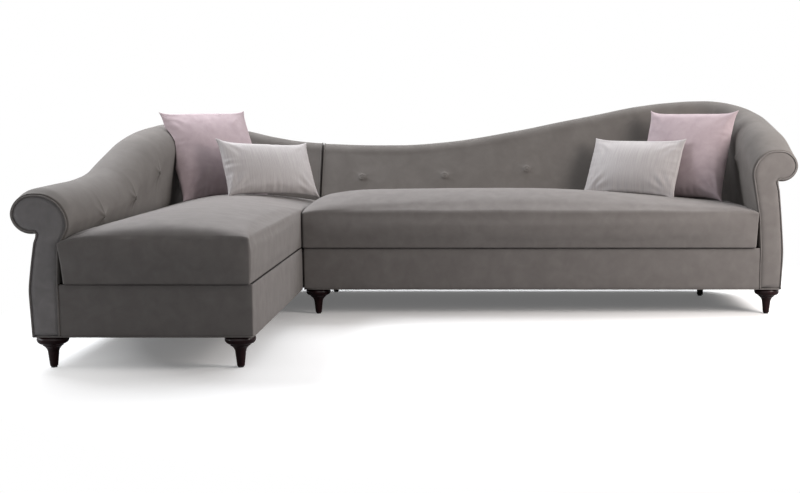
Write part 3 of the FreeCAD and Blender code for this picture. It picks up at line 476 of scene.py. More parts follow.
CAD_FINISHES = {
    "arm_board": PLYWOOD, "arm_front_board": PLYWOOD, "back_boards": PLYWOOD,
    "cross_rails": FRAME_WOOD, "leg_blocks": FRAME_WOOD, "posts": FRAME_WOOD, "seat_rails": FRAME_WOOD,
    "front_legs": ESPRESSO, "rear_legs": BLACK_WOOD, "glides": NYLON, "leg_bolts": STEEL,
    "seat_springs": STEEL, "spring_clips": STEEL, "connector_pockets": STEEL, "connector_hooks": STEEL,
}
for node, shown in nodes.items():
    finish = CAD_FINISHES.get(node.split("_", 1)[1])
    if finish:
        shown.data.materials.clear()
        shown.data.materials.append(finish)


# ---------------------------------------------------------------- padded walls
# Spacing of places along the wall, and within reach of a tuft
WALL_GAP, TUFT_GAP, TUFT_REACH = 13.0, 4.5, 75
# The same for the arm's front and the joint
ARM_END_GAP, ARM_END_REACH, JOINT_GAP, JOINT_REACH = 5.0, 12, 3.0, 16
# How far in the padding rolls at the joint, and over what length
JOINT_ROLL, JOINT_ROLL_LENGTH = 5.0, 9
# Depth of the boards' faces behind the padding, and how far the back's leans out for each mm up
ARM_BOARD, BACK_BOARD, BOARD_LEAN = 60, 150, 0.33
# Points of the section that lie behind the seat cushion; depth of the wide hollow round a deep tuft
DECK_POINTS, HOLLOW = 20, 8.5
# Folds round each tuft: their directions in half turns, and how far from the button they end
FOLDS, FOLD_END = (0.18, 0.45, 0.86, 1.14, 1.45, 1.8), 160
# Turns of the padding where it rolls over to the arm's front, from face to edge
FRONT_TURNS = np.linspace(math.pi / 2, 0, 7)[:-1]
# A button's dome: share of its radius, and height
BUTTON_DOME = ((0.2, 4.8), (0.5, 4.5), (0.78, 3.5), (0.95, 1.8), (1.0, 0.2), (0.93, -1.6),
               (0.6, -2.6), (0.2, -3.0))
BUTTON_SIDES = 28


def wall_places(rim):
    """Places along the wall, closer together round each tuft and at the ends."""
    gap = np.full(int(rim.length), WALL_GAP)
    along = np.arange(len(gap))
    for stop in rim.stops:
        gap[np.abs(along - stop) < TUFT_REACH] = TUFT_GAP
    gap[along > rim.length - JOINT_REACH] = JOINT_GAP
    gap[along < ARM_END_REACH] = ARM_END_GAP
    step = np.cumsum(1 / gap)
    even = np.linspace(step[0], step[-1], int(step[-1]))
    return np.interp(even, step, along * (rim.length / along[-1]))


def vertex_normals(points):
    """The direction square to a grid of points, at each point."""
    along = np.gradient(points, axis=0)
    up = np.gradient(points, axis=1)
    normal = np.cross(along, up)
    return normal / np.maximum(np.linalg.norm(normal, axis=2), 1e-9)[..., None]


def joint_roll(rim, s):
    """How far each place has rolled in at the joint, from 0 to 1."""
    left = np.clip(1 - (rim.length - s) / JOINT_ROLL_LENGTH, 0, 1)
    return 1 - np.sqrt(1 - left ** 2)


def inner_wall(name):
    """Tufted padding over the rim, with the hollow and the folds that each button draws in: deep on
    the arm, shallow in the corner and on the back. Gives each button's place and directions."""
    rim = RIMS[name]
    s = wall_places(rim)
    rows = rim.over(s)
    points = rim.placed(s, rows)
    normal = vertex_normals(points) * rim.side
    start = points.copy()
    draw = np.random.default_rng(7)
    buttons = []
    for stop in rim.stops:
        i = int(np.argmin(np.abs(s - stop)))
        height = BUTTON_SHARE * rim.crest(np.array([stop]))[0]
        face = start[i, :OVER_COUNT // 2, 2]
        j = DECK_POINTS + int(np.argmin(np.abs(face[DECK_POINTS:] - height)))
        centre, out = start[i, j], normal[i, j]
        side = np.cross([0, 0, 1.0], out)
        side /= np.linalg.norm(side)
        up = np.cross(out, side)
        near = start - centre
        reach = np.linalg.norm(near, axis=2)
        x, y = near @ side, near @ up
        if stop < rim.arm:
            # A wide hollow, and a narrow pit under the button
            sunk, crease = TUFT_DEPTH - 1.0, 5.0
            drop = HOLLOW * np.exp(-(reach / 30) ** 1.5) + (TUFT_DEPTH - HOLLOW) * ridge(reach, 9)
        else:
            # A slight hollow, and a ring pressed in round the button
            sunk, crease = 5.5, 1.0
            drop = 4.5 * np.exp(-(reach / 34) ** 1.6) + 5.0 * ridge(reach - 12.5, 5.0)
        for turn in FOLDS:
            angle = turn * math.pi + draw.uniform(-0.15, 0.15)
            cos, sin = math.cos(angle), math.sin(angle)
            ahead, beside = x * cos + y * sin, -x * sin + y * cos
            # It is narrow at the button, widens outwards and dies out.
            width = 3.5 + np.clip(ahead, 0, 90) * 0.12
            fold = ridge(beside, width) * fade(np.abs(ahead - 16), draw.uniform(20, 40))
            drop = drop + crease * fold * (ahead > 3)
        points -= out * (drop * (reach < FOLD_END))[..., None]
        buttons.append((centre - out * sunk, out, side, up))
    # Between the tufts the padding swells a little, but not at the deck.
    swell = ruffled(start.reshape(-1, 3), 240, 2.2, 3.0).reshape(points.shape[:2])
    swell *= np.clip((start[..., 2] - DECK_TOP) / 150, 0, 1)
    points += normal * swell[..., None]
    # The padding rolls in at the joint.
    points -= normal * (JOINT_ROLL * joint_roll(rim, s))[:, None, None]
    # At the arm's front it rolls over towards the facing's seam.
    seam = rim.seam_insets()[0] + 1
    front = np.array([inset(rows[0], seam * (1 - math.cos(a))) for a in FRONT_TURNS])
    reach = -FACE_ROLL * np.sin(FRONT_TURNS)
    points = np.concatenate([rim.placed(reach, front), points])
    rows, s = np.concatenate([front, rows]), np.concatenate([reach, s])
    # Behind, the padding is as thick as the board leaves it.
    bent, tack = rim.board(s), rows[:, -1, 1]
    upper = ARM_BOARD * (1 - bent) + (BACK_BOARD - BOARD_LEAN * (tack - DECK_TOP)) * bent
    lower = ARM_BOARD * (1 - bent) + BACK_BOARD * bent
    rear = np.stack([columns(upper, tack), columns(lower, DECK_TOP)], 1)
    ring = np.concatenate([points, rim.placed(s, rear)], 1)
    # The padding takes the darker velvet, whose darker tone is painted shade.
    made(name + "_tufted_wall", *swept(ring), SHADED_WALL_VELVET, name,
         (name + "_inside_back", name + "_inside_corner", name + "_inside_arm"), "velvet", 0.85)
    return buttons


def outer_wall(name):
    """Outside cover from the tack line to the bottom edge, taut over wadding."""
    rim = RIMS[name]
    s = wall_places(rim)
    line = rim.outer(s)
    count = line.shape[1]
    # It thins out towards both tacked edges, where it is drawn in.
    depth = COVER * np.ones(count)
    depth[:3], depth[-3:] = (2.5, 6.0, 9.5), (9.5, 6.0, 2.5)
    puff = np.minimum(np.arange(count), np.arange(count)[::-1]) / 4
    outside, inside = inset(line, 2.0 * (1 - np.clip(puff, 0, 1))), inset(line, depth)
    points = rim.placed(s, np.concatenate([outside, inside[:, ::-1]], 1))
    ahead = rim.plan(s)[1]
    points[:, :count, :2] += (ahead * (4.0 * joint_roll(rim, s))[:, None])[:, None]
    swell = ruffled(points[:, :count].reshape(-1, 3), 300, 1.6, 9.0).reshape(len(s), count)
    points[:, :count, :2] += ahead[:, None] * swell[..., None] * 0.7
    seam = rim.seam_insets()[1] + 1
    front = []
    for a in FRONT_TURNS:
        row = np.concatenate([inset(outside[0], seam * (1 - math.cos(a))), inside[0, ::-1]])
        front.append(rim.placed(np.array([-FACE_ROLL * math.sin(a)]), row[None])[0])
    made(name + "_outside_cover", *swept(np.concatenate([front, points])), GREY_VELVET, name,
         (name + "_outside_back", name + "_outside_corner", name + "_outside_arm"), "velvet", 0.8)


def covered_buttons(name, places):
    """Domed buttons in the same velvet, each sunk in its tuft."""
    angle = (np.arange(BUTTON_SIDES) * 2 * math.pi / BUTTON_SIDES)[:, None]
    parts = []
    for centre, out, side, up in places:
        spokes = BUTTON_R * (side * np.cos(angle) + up * np.sin(angle))
        rings = [centre + out * height + share * spokes for share, height in BUTTON_DOME]
        parts.append(swept(np.array(rings)))
    # The buttons take the same darker velvet, whose darker tone is painted shade.
    made(name + "_covered_buttons", *gathered(parts), SHADED_WALL_VELVET, name, (name + "_buttons",), "velvet")


# ---------------------------------------------------------------- flat padded panels
def facing_seam(rim):
    """The seam round the scroll facing, from its foot inside the arm over the roll to the outer foot."""
    over_inset, outer_inset = rim.seam_insets()
    start = np.array([0.0])
    over = inset(rim.over(start)[0], over_inset)
    outer = inset(rim.outer(start)[0], outer_inset)
    foot = [(over[0, 0], z) for z in np.linspace(BASE, over[0, 1], 30)[:-1]]
    return np.concatenate([foot, over, outer])


def filled(outline, step, rings):
    """A flat mesh inside an outline: points, faces and each point's distance from the edge."""
    edge = respaced(np.concatenate([outline, outline[:1]]), len(outline) * 4)
    tree = KDTree(len(edge))
    for i, (x, y) in enumerate(edge):
        tree.insert((x, y, 0), i)
    tree.balance()

    def away(p):
        return tree.find((p[0], p[1], 0))[2]
    low, high = outline.min(0), outline.max(0)
    x, y = np.meshgrid(np.arange(low[0], high[0], step), np.arange(low[1], high[1], step))
    extra = [(p, by) for by in rings for p in inset(outline, by)]
    extra += [(p, rings[-1] + step * 0.6) for p in columns(x.ravel(), y.ravel())]
    inner = [p.tolist() for p, least in extra if away(p) > 0.93 * least]
    flat = [Vector(p) for p in outline.tolist() + inner]
    points, _, faces, *_ = delaunay_2d_cdt(flat, [], [list(range(len(outline)))], 1, 1e-4)
    points = np.array([tuple(p) for p in points])
    return points, [list(face) for face in faces], np.array([away(p) for p in points])


def scroll_facing(name):
    """The scroll panel on the arm's front: velvet drawn over a thin pad, dipping to the piping."""
    rim = RIMS[name]
    flat, faces, away = filled(facing_seam(rim), 9.0, (1.2, 3.0, 6.0))
    x, z = rim.side * (rim.width - flat[:, 0]), flat[:, 1]
    # It swells 9 mm forward from its seam, which lies 6.5 mm behind the unit's front.
    face_y = rim.front + 6.5 - 9.0 * (1 - fade(away, 5.5))
    front = columns(x, face_y + ruffled(columns(x, 0, z), 90, 0.6, 2.0), z)
    back = columns(x, rim.front + FACING - 0.5, z)
    edges = {(a, b): None for face in faces for a, b in zip(face, face[1:] + face[:1])}
    count = len(front)
    sides = [[a, b, b + count, a + count] for a, b in edges if (b, a) not in edges]
    rear = [[v + count for v in face[::-1]] for face in faces]
    # The chaise's panel takes the paler velvet, whose paler tone is painted light.
    made(name + "_scroll_facing", np.concatenate([front, back]), faces + rear + sides,
         LIT_FACING_VELVET if rim.side < 0 else GREY_VELVET, name, (name + "_arm_facing",), "velvet", 0.8)


# Points along each run of piping, and how much fuller it is round the scroll
PIPE_POINTS, SCROLL_PIPE_EXTRA = 20, 0.3


def piping(name):
    """Velvet piping round the scroll and along the bottom edges."""
    rim = RIMS[name]
    side, front, seam = rim.side, rim.front, facing_seam(rim)
    ring = columns(side * (rim.width - seam[:, 0]), front + 0.5, seam[:, 1])
    low, arm_line, turn = BASE - WELT_R + WELT_SEWN, rim.width - WELT_R, CORNER_RADIUS - WELT_R
    hem = [(side * (HALF_GAP + WELT_R), front + WELT_R, low), (side * arm_line, front + WELT_R, low)]
    hem += [(side * arm_line, y, low) for y in np.linspace(front + 20, CORNER_Y - 10, PIPE_POINTS)]
    hem += [(side * (rim.run + turn * math.cos(a)), CORNER_Y + turn * math.sin(a), low)
            for a in np.linspace(0, math.pi / 2, PIPE_POINTS)]
    hem += [(side * x, UNIT_DEPTH - WELT_R, low)
            for x in np.linspace(rim.run - 10, HALF_GAP + WELT_R, PIPE_POINTS)]
    parts = [tube(ring, WELT_R + SCROLL_PIPE_EXTRA), tube(respaced(hem[:2], 40), WELT_R),
             tube(hem[1:], WELT_R)]
    if side < 0:
        inner = np.linspace(front + 2 * WELT_R, -3.0, 30)
        parts.append(tube([(-HALF_GAP - WELT_R, y, low) for y in inner], WELT_R))
    made(name + "_velvet_piping", *gathered(parts), GREY_VELVET, name, (name + "_piping",), "velvet")


def soft_slab(low, high, radius, step):
    """Points and faces of a slab with rounded edges, and each point's place on it from -1 to 1."""
    low, high = np.asarray(low, float), np.asarray(high, float)
    half = (high - low) / 2
    round_ = np.minimum(radius, half * 0.98)
    axes = []
    for k in range(3):
        edge = [half[k] - round_[k] + round_[k] * t for t in (0.0, 0.27, 0.58, 1.0)]
        inner = np.linspace(-edge[0], edge[0], max(2, int(round(2 * edge[0] / step)) + 1))
        axes.append(np.concatenate([-np.array(edge[:0:-1]), inner, edge[1:]]))
    index, faces = {}, []
    last = [len(axis) - 1 for axis in axes]
    for across in range(3):
        u, v = [k for k in range(3) if k != across]
        for end, i, j in product((0, last[across]), range(last[u]), range(last[v])):
            face = []
            for a, b in ((i, j), (i + 1, j), (i + 1, j + 1), (i, j + 1)):
                place = {across: end, u: a, v: b}
                face.append(index.setdefault((place[0], place[1], place[2]), len(index)))
            faces.append(face)
    points = np.array([[axis[i] for axis, i in zip(axes, key)] for key in index])
    core = np.clip(points, -(half - round_), half - round_)
    away = (points - core) / round_
    size = np.linalg.norm(away, axis=1)[:, None]
    share = points / half
    rounded = core + np.where(size > 1e-9, away / np.maximum(size, 1e-9), 0) * round_
    return rounded + (low + high) / 2, faces, share


def puffed_slab(low, high, radius, axis, way, puff):
    """A rounded slab whose one face is lightly padded."""
    points, faces, share = soft_slab(low, high, radius, 18)
    others = [k for k in range(3) if k != axis]
    swell = np.prod(1 - np.abs(share[:, others]) ** 6, axis=1)
    points[:, axis] += way * puff * swell * (share[:, axis] * way > 0.5)
    points += ruffled(points, 200, 0.8, 5.0)[:, None] * (np.abs(share) > 0.99)
    return points, faces


# Gap between a band and what it meets, how far below the deck's top it ends, and how far it runs in
# under the facing's piping
BAND_GAP, BAND_DROP, BAND_TUCK = 0.4, 0.6, 3.0


def front_band(name):
    """Velvet band over the front rail, lightly padded, drawn under the facing's piping at its end."""
    rim = RIMS[name]
    near = JOINT_X if rim.side > 0 else HALF_GAP - BAND_GAP
    xs = sorted((rim.side * near, rim.side * (rim.width - ARM_WIDTH + BAND_TUCK)))
    low = (xs[0] + BAND_GAP, rim.front, BASE + BAND_GAP)
    high = (xs[1] - BAND_GAP, rim.front + COVER - BAND_GAP, DECK_TOP - BAND_DROP)
    parts = [puffed_slab(low, high, 5.0, 1, -1, 1.5)]
    if rim.side < 0:
        # The chaise's free side has one too, thin and flat.
        low = (-JOINT_X + 0.2, rim.front + COVER - 7.0, BASE + BAND_GAP)
        parts.append(puffed_slab(low, (-HALF_GAP, -3.4, DECK_TOP - BAND_DROP), 1.9, 0, 1, 0.8))
    made(name + "_front_band", *gathered(parts), GREY_VELVET, name, (name + "_border",), "velvet", 0.9)


# The back's side cloth from its edge inwards: distance from the section's line, and place across
SIDE_RINGS = ((5.0, JOINT_X), (4.0, JOINT_X - 1.2), (4.6, HALF_GAP + 1.0), (7.5, HALF_GAP),
              (14.0, HALF_GAP))
SIDE_GAP = 0.3


def side_cloth(name):
    """Cloth over the side that meets the other unit: the seat side, and the profile of the back."""
    rim = RIMS[name]
    end = np.array([rim.length])
    loop = np.concatenate([[(BACK_FOOT, BASE)], rim.over(end)[0], rim.outer(end)[0][1:]])
    rings = []
    for by, x in SIDE_RINGS:
        row = inset(loop, by)
        rings.append(columns(rim.side * x, UNIT_DEPTH - row[:, 0], row[:, 1]))
    seat_front = COVER if rim.side > 0 else 0.0
    xs = sorted((rim.side * HALF_GAP, rim.side * JOINT_X))
    low = (xs[0], seat_front + SIDE_GAP, BASE + SIDE_GAP)
    high = (xs[1], UNIT_DEPTH - BACK_FOOT - SIDE_GAP, DECK_BOTTOM - SIDE_GAP)
    seat = soft_slab(low, high, 1.9, 24)[:2]
    made(name + "_side_cloth", *gathered([swept(np.array(rings)), seat]), GREY_VELVET, name,
         (name + "_joint_cover",), "velvet", 0.9)


# The deck pad's gap to the covers round it, how far its edges lie below the deck's top, and its crown
PAD_GAP, PAD_DROP, PAD_CROWN = 0.3, 1.5, 1.2


def deck_pad(name):
    """Felt pad over the springs, under black cotton: flat, rounded at its edges, a little crowned."""
    rim = RIMS[name]
    foot, bend, long = rim.width - ARM_WIDTH, DECK_REAR - CORNER_Y, 1000.0
    low = (0, rim.front + COVER + PAD_GAP, DECK_BOTTOM)
    points, faces, share = soft_slab(low, (long, DECK_REAR - PAD_GAP, DECK_TOP - PAD_DROP), 5.0, 30)
    # A slab of one length is stretched at each place to the arm's foot or to the corner.
    y = points[:, 1]
    reach = np.where(y > CORNER_Y, foot + (rim.run + bend - foot) * (y - CORNER_Y) / bend, foot) - 0.5
    points[:, 0] = rim.side * (JOINT_X + 0.5 + points[:, 0] / long * (reach - JOINT_X - 0.5))
    top = points[:, 2] > (DECK_BOTTOM + DECK_TOP) / 2
    points[:, 2] += top * PAD_CROWN * (1 - share[:, 0] ** 4) * (1 - share[:, 1] ** 4)
    made(name + "_deck_pad", points, faces, DECK_CLOTH, name, (name + "_seat_deck",), "deck_cloth", 0.9)


# The dust sheet's edge from the piping, its columns of points, its thickness and its sag
SHEET_EDGE, SHEET_COUNT, SHEET_THICK, SAG = 5.0, 50, 0.4, 1.6


def dust_sheet(name):
    """Black spunbonded cloth stapled under the frame, sagging a few millimetres between the staples."""
    rim = RIMS[name]
    hem, count = 2 * WELT_R + SHEET_EDGE, SHEET_COUNT
    near, bend = HALF_GAP + hem, CORNER_RADIUS - hem
    rounded = CORNER_Y + bend * np.sin(np.linspace(0, math.pi / 2, 16))
    ys = np.unique(np.r_[np.linspace(rim.front + hem, CORNER_Y, count), rounded])
    curve = rim.run + np.sqrt(np.maximum(bend ** 2 - np.maximum(ys - CORNER_Y, 0) ** 2, 0))
    far = np.where(ys > CORNER_Y, curve, rim.width - hem)
    share, y = np.linspace(0, 1, count), ys[:, None]
    u, v = 2 * share - 1, (y - ys[0]) / (ys[-1] - ys[0]) * 2 - 1
    sag = -SAG * (1 - u ** 4) * (1 - v ** 4)
    upper = columns(rim.side * (near + (far - near)[:, None] * share), y, BASE - 0.2 + sag)
    points = np.concatenate([upper.reshape(-1, 3), upper.reshape(-1, 3) - [0, 0, SHEET_THICK]])
    faces, below = grid_faces(len(ys), count), len(ys) * count
    faces += [[v + below for v in face] for face in faces]
    index = np.arange(below).reshape(len(ys), count)
    edge = np.concatenate([index[0], index[1:, -1], index[-1, -2::-1], index[-2:0:-1, 0]]).tolist()
    faces += [[a, b, b + below, a + below] for a, b in zip(edge, edge[1:] + edge[:1])]
    piece = made(name + "_dust_sheet", points, faces, DUST_CLOTH, name, (name + "_dust_cover",), "dust_cloth")


# ---------------------------------------------------------------- cushions
def seat_top(name):
    """Gives a function for the height of a seat cushion's top: a crown between its four edges."""
    rim, (crown, rise) = RIMS[name], CUSHIONS[name]
    risen = smooth_curve(*zip(*rise))
    arm_end = rim.width - CUSHION_INSET
    if rim.side > 0:
        start, end, low, high = HALF_GAP, arm_end, CUSHION_FRONT, CUSHION_REAR
    else:
        start, end, low, high = rim.front + CUSHION_FRONT, CUSHION_REAR, -arm_end, -HALF_GAP

    def top(x, y):
        along, over = (x, y) if rim.side > 0 else (y, x)
        s = np.clip((along - start) / (end - start), 0, 1)
        w = np.clip((over - low) / (high - low) * 2 - 1, -1, 1)
        return EDGE_Z + (crown - EDGE_Z) * risen(s) * (1 - np.abs(w) ** 2.1)
    return top


SWELL_FRAMES = 14
CLOTH = dict(quality=6, mass=0.35, tension_stiffness=25, compression_stiffness=25, shear_stiffness=15,
             bending_stiffness=4, use_pressure=True, vertex_group_mass="held")
# Pressure inside a cushion and inside a pillow, and how far either may swell
CUSHION_SWELL, PILLOW_SWELL = (0.6, 6.0), (1.5, 5.0)


def smoothed(piece):
    """Rounds off a piece's facets."""
    modifier = piece.modifiers.new("smooth", "SUBSURF")
    modifier.levels = modifier.render_levels = 1


def inflated(points, faces, pins, pressure, cap):
    """The shape after cloth simulation under air pressure: points are held as far as their pins say,
    and none moves further than the cap."""
    body = meshed("swell", points, faces)
    mesh = body.data
    group = body.vertex_groups.new(name="held")
    for i, weight in enumerate(pins):
        if weight > 0:
            group.add([i], float(weight), "REPLACE")
    settings = body.modifiers.new("swell", "CLOTH").settings
    for key, value in CLOTH.items():
        setattr(settings, key, value)
    settings.uniform_pressure_force = pressure
    settings.effector_weights.gravity = 0
    scene = bpy.context.scene
    for step in range(1, SWELL_FRAMES + 1):
        scene.frame_set(step)
    result = body.evaluated_get(bpy.context.evaluated_depsgraph_get()).to_mesh()
    moved = np.array([v.co for v in result.vertices]) / MM
    scene.frame_set(1)
    bpy.data.objects.remove(body)
    bpy.data.meshes.remove(mesh)
    away = moved - points
    far = np.linalg.norm(away, axis=1)
    keep = np.minimum(1, cap / np.maximum(far, 1e-9))
    return points + away * keep[:, None]


def bench_cushion(name):
    """Loose seat cushion of foam in fibre wadding: a high soft crown, boxed corners, and a hollow where
    the lower corner draws in."""
    rim = RIMS[name]
    side, arm_end, top = rim.side, rim.width - CUSHION_INSET, seat_top(name)
    corner_drop, lip_reach = (9, 5) if side > 0 else (24, 16)
    xs = sorted((side * (HALF_GAP + 0.8), side * arm_end))
    low = np.array([xs[0], rim.front + CUSHION_FRONT, DECK_TOP + 0.8])
    high = np.array([xs[1], CUSHION_REAR, EDGE_Z])
    points, faces, share = soft_slab(low, high, 8.0, 15.0)
    x, y, z = points.T
    height = (z - low[2]) / (high[2] - low[2])
    # The chaise's inner side is free where it stands out in front of the sofa.
    free = np.clip((-14 - y) / 40, 0, 1) * (side < 0)
    front, outer = y - low[1], arm_end - side * x
    inner = np.where(free > 0, side * x - HALF_GAP, 400)
    # Soft shoulders along the front and the free side, and lower, pointed corners
    shoulder = 4 * fade(front, 9) + 6 * fade(inner, 16)
    corner = corner_drop * fade(np.hypot(front, outer), 50)
    if side > 0:
        corner = corner + corner_drop * fade(np.hypot(front, x), 50)
    z = low[2] + height * (top(x, y) - shoulder - corner - low[2])
    # The front and the free side belly out.
    belly = 1 - (2 * height - 1) ** 2
    y = y - 7 * belly * fade(front, 25) * (1 - np.abs(share[:, 0]) ** 10)
    x = x + side * 5 * (1 - belly) * free * fade(inner, 25)
    # Beside the arm the upper edge leans in under the roll.
    wall = rim.over(np.array([0.0]))[0]
    wall = wall[:int(np.argmax(wall[:OVER_COUNT // 2, 0])) + 1]
    under = np.interp(z, wall[:, 1], wall[:, 0]) + 4.0 - CUSHION_INSET
    x = x - side * np.maximum(under, 0) * fade(outer, 25) * np.clip((front - 8) / 7, 0, 1)
    # The upper outer corner reaches past the arm and forward; the lower one draws in.
    lip = fade(outer, 40) * fade(front, 14)
    x = x + side * lip * (lip_reach * height ** 2 - 7 * (1 - height) ** 3)
    y = y - lip * 8 * height ** 2
    # The rear corner is rounded beside the corner padding.
    u, v = (side * x - rim.run) / (arm_end - rim.run), (y - CORNER_Y) / (CUSHION_REAR - CORNER_Y)
    inside = (u > 0) & (v > 0)
    shrink = np.where(inside, np.maximum(u, v) / np.maximum(np.hypot(u, v), 1e-9), 1)
    x = np.where(inside, side * (rim.run + (side * x - rim.run) * shrink), x)
    y = np.where(inside, CORNER_Y + (y - CORNER_Y) * shrink, y)
    points = columns(x, y, z)
    # The underside, the arm's side, the rear and the side against the other cushion don't swell.
    held = np.clip(1 - height / 0.3, 0, 1) + fade(outer, 8) + fade(np.abs(CUSHION_REAR - y), 8)
    held = held + fade(np.abs(x), 8) * ((side > 0) | (y > -30))
    points = inflated(points, faces, np.clip(held, 0, 1), *CUSHION_SWELL)
    points[:, 2] += ruffled(points, 210, 2.2, 1.0) * height + ruffled(points, 60, 0.7, 4.0) * height
    points[:, 0] = side * np.maximum(side * points[:, 0], HALF_GAP + 0.3)
    points[:, 2] = np.maximum(points[:, 2], DECK_TOP + 0.5)
    smoothed(made(name + "_bench_cushion", points, faces, GREY_VELVET, name + "_cushion",
                  (name + "_seat_cushion",), "velvet", 0.9))


# Spacing of a pillow's points, and length of its puckers
PILLOW_STEP, PUCKER = 8, 21
# Its folds at each end: degrees from level, depth, and whether they start at the top
CORNER_FOLDS = ((24, 8.0, False), (45, 10.0, False), (68, 7.0, False), (33, 4.0, True), (57, 4.0, True))


def pillow_cover(width, tall, thick, seed):
    """Two panels of cloth sewn at their edges over a full filling: the sides draw in between pointed
    corners, the cloth puckers along the seams, and soft folds run in from the corners."""
    n, m = int(width / PILLOW_STEP), int(tall / PILLOW_STEP)
    u, v = np.meshgrid(np.linspace(-1, 1, n), np.linspace(-1, 1, m), indexing="ij")
    fill = (1 - np.abs(u) ** 2.2) * (1 - np.abs(v) ** 2.2)
    sides, ends, power = (0.07, 0.085, 6) if width == tall else (0.05, 0.14, 4)
    x = u * width / 2 * (1 - sides * (1 - np.abs(v) ** power))
    z = tall / 2 * (1 + v * (1 - ends * (1 - np.abs(u) ** power)))
    # Each pair of seams: the way along it, the distance from it, and what tells its halves apart
    seams = ((u * width / 2, (1 - np.abs(v)) * tall / 2, u if width == tall else v),
             (v * tall / 2, (1 - np.abs(u)) * width / 2, u))
    sheets = []
    for face in (0, 1):
        pucker = np.zeros_like(u)
        for run, away, half in seams:
            wave = [noise.noise(Vector((a / PUCKER, seed + 7 * face, (b > 0) * 3.0)))
                    for a, b in zip(run.ravel(), half.ravel())]
            deep = np.array(wave).reshape(u.shape) * (8.0 + 9.0 * np.clip(-0.2 - v, 0, 1))
            pucker += deep * fade(away, 32) * np.clip(away / 8, 0, 1)
        for end in (-1, 1):
            for angle, deep, top in CORNER_FOLDS:
                cos, sin = math.cos(math.radians(angle)), math.sin(math.radians(angle))
                cx, cz = x - end * width * 0.47, (tall * 0.97 - z) if top else (z - tall * 0.03)
                ahead, beside = -end * cx * cos + cz * sin, end * cx * sin + cz * cos
                wide = 9 + np.clip(ahead, 0, 300) * 0.07
                swell = ridge(beside - 6, wide) - 0.8 * ridge(beside + 14, wide)
                pucker += deep * ridge(ahead - 70, 55) * swell
        sheets.append(thick / 2 * fill ** 0.62 + pucker * fill ** 0.3)
    front, back = (columns(x, way * lift, z) for way, lift in zip((-1, 1), sheets))
    index = np.arange(n * m).reshape(n, m)
    other = index.copy()
    other[1:-1, 1:-1] = n * m + np.arange((n - 2) * (m - 2)).reshape(n - 2, m - 2)
    points = np.concatenate([front.reshape(-1, 3), back[1:-1, 1:-1].reshape(-1, 3)])
    faces = []
    for table, way in ((index, 1), (other, -1)):
        corners = [table[:-1, :-1], table[1:, :-1], table[1:, 1:], table[:-1, 1:]]
        faces += np.stack(corners[::way], 2).reshape(-1, 4).tolist()
    return points, faces


# Each pillow's width, height and thickness, its lean, roll and turn, and the middle of its lower edge
PILLOWS = {
    "chaise_square": (480, 480, 145, (25.3, -1, 42.6), (-424, 395, 502), ROSE_VELVET, "rose_velvet"),
    "sofa_square": (480, 480, 145, (22.2, 0, -34.9), (1768, 392, 497), ROSE_VELVET, "rose_velvet"),
    "chaise_lumbar": (495, 325, 115, (30.5, 3.5, 38.2), (-172, 303, 515), SILVER_WEAVE, "silver_weave"),
    "sofa_lumbar": (495, 325, 115, (28.2, 0, -32), (1524, 388, 516), SILVER_WEAVE, "silver_weave"),
}
# How far a pillow sinks into its cushion, the step of the table of the wall's depths, and each
# pillow's gap to the wall as its cushion slides out
PILLOW_SUNK, WALL_STEP = 1.5, 8.0
SLIDE_GAPS = ((0, 2.5), (60, 2.0), (125, 2.0), (190, 2.5), (250, 3.0))


def pressed_from_wall(rim, points, gap):
    """Points kept clear of the wall's padding, as when a pillow is squashed against it."""
    s = np.arange(0, rim.length, WALL_STEP)
    z = np.arange(DECK_TOP, rim.peak, WALL_STEP)
    depths = []
    for row in rim.over(s):
        top = int(np.argmax(row[:, 1]))
        depths.append(np.interp(z, row[:top, 1], row[:top, 0], right=-500.0))
    # Each cell of the table has the wall's fullest depth at its four corners.
    depths = np.array(depths)
    depths = np.maximum(depths[:-1], depths[1:])
    depths = np.maximum(depths[:, :-1], depths[:, 1:])
    x, y = rim.side * points[:, 0], points[:, 1]
    angle = np.clip(np.arctan2(y - CORNER_Y, x - rim.run), 0, math.pi / 2)
    bent = columns(np.cos(angle), np.sin(angle))
    from_centre = (x - rim.run) * bent[:, 0] + (y - CORNER_Y) * bent[:, 1]
    depth = CORNER_RADIUS - from_centre
    place = (rim.arm + angle * CORNER_RADIUS + np.where(y < CORNER_Y, y - CORNER_Y, 0)
             + np.where(x < rim.run, rim.run - x, 0))
    i = np.clip((place / WALL_STEP).astype(int), 0, len(depths) - 1)
    j = np.clip(((points[:, 2] - DECK_TOP) / WALL_STEP).astype(int), 0, depths.shape[1] - 1)
    push = np.maximum(depths[i, j] + gap - depth, 0)
    moved = points.copy()
    moved[:, 0] -= rim.side * bent[:, 0] * push
    moved[:, 1] -= bent[:, 1] * push
    return moved


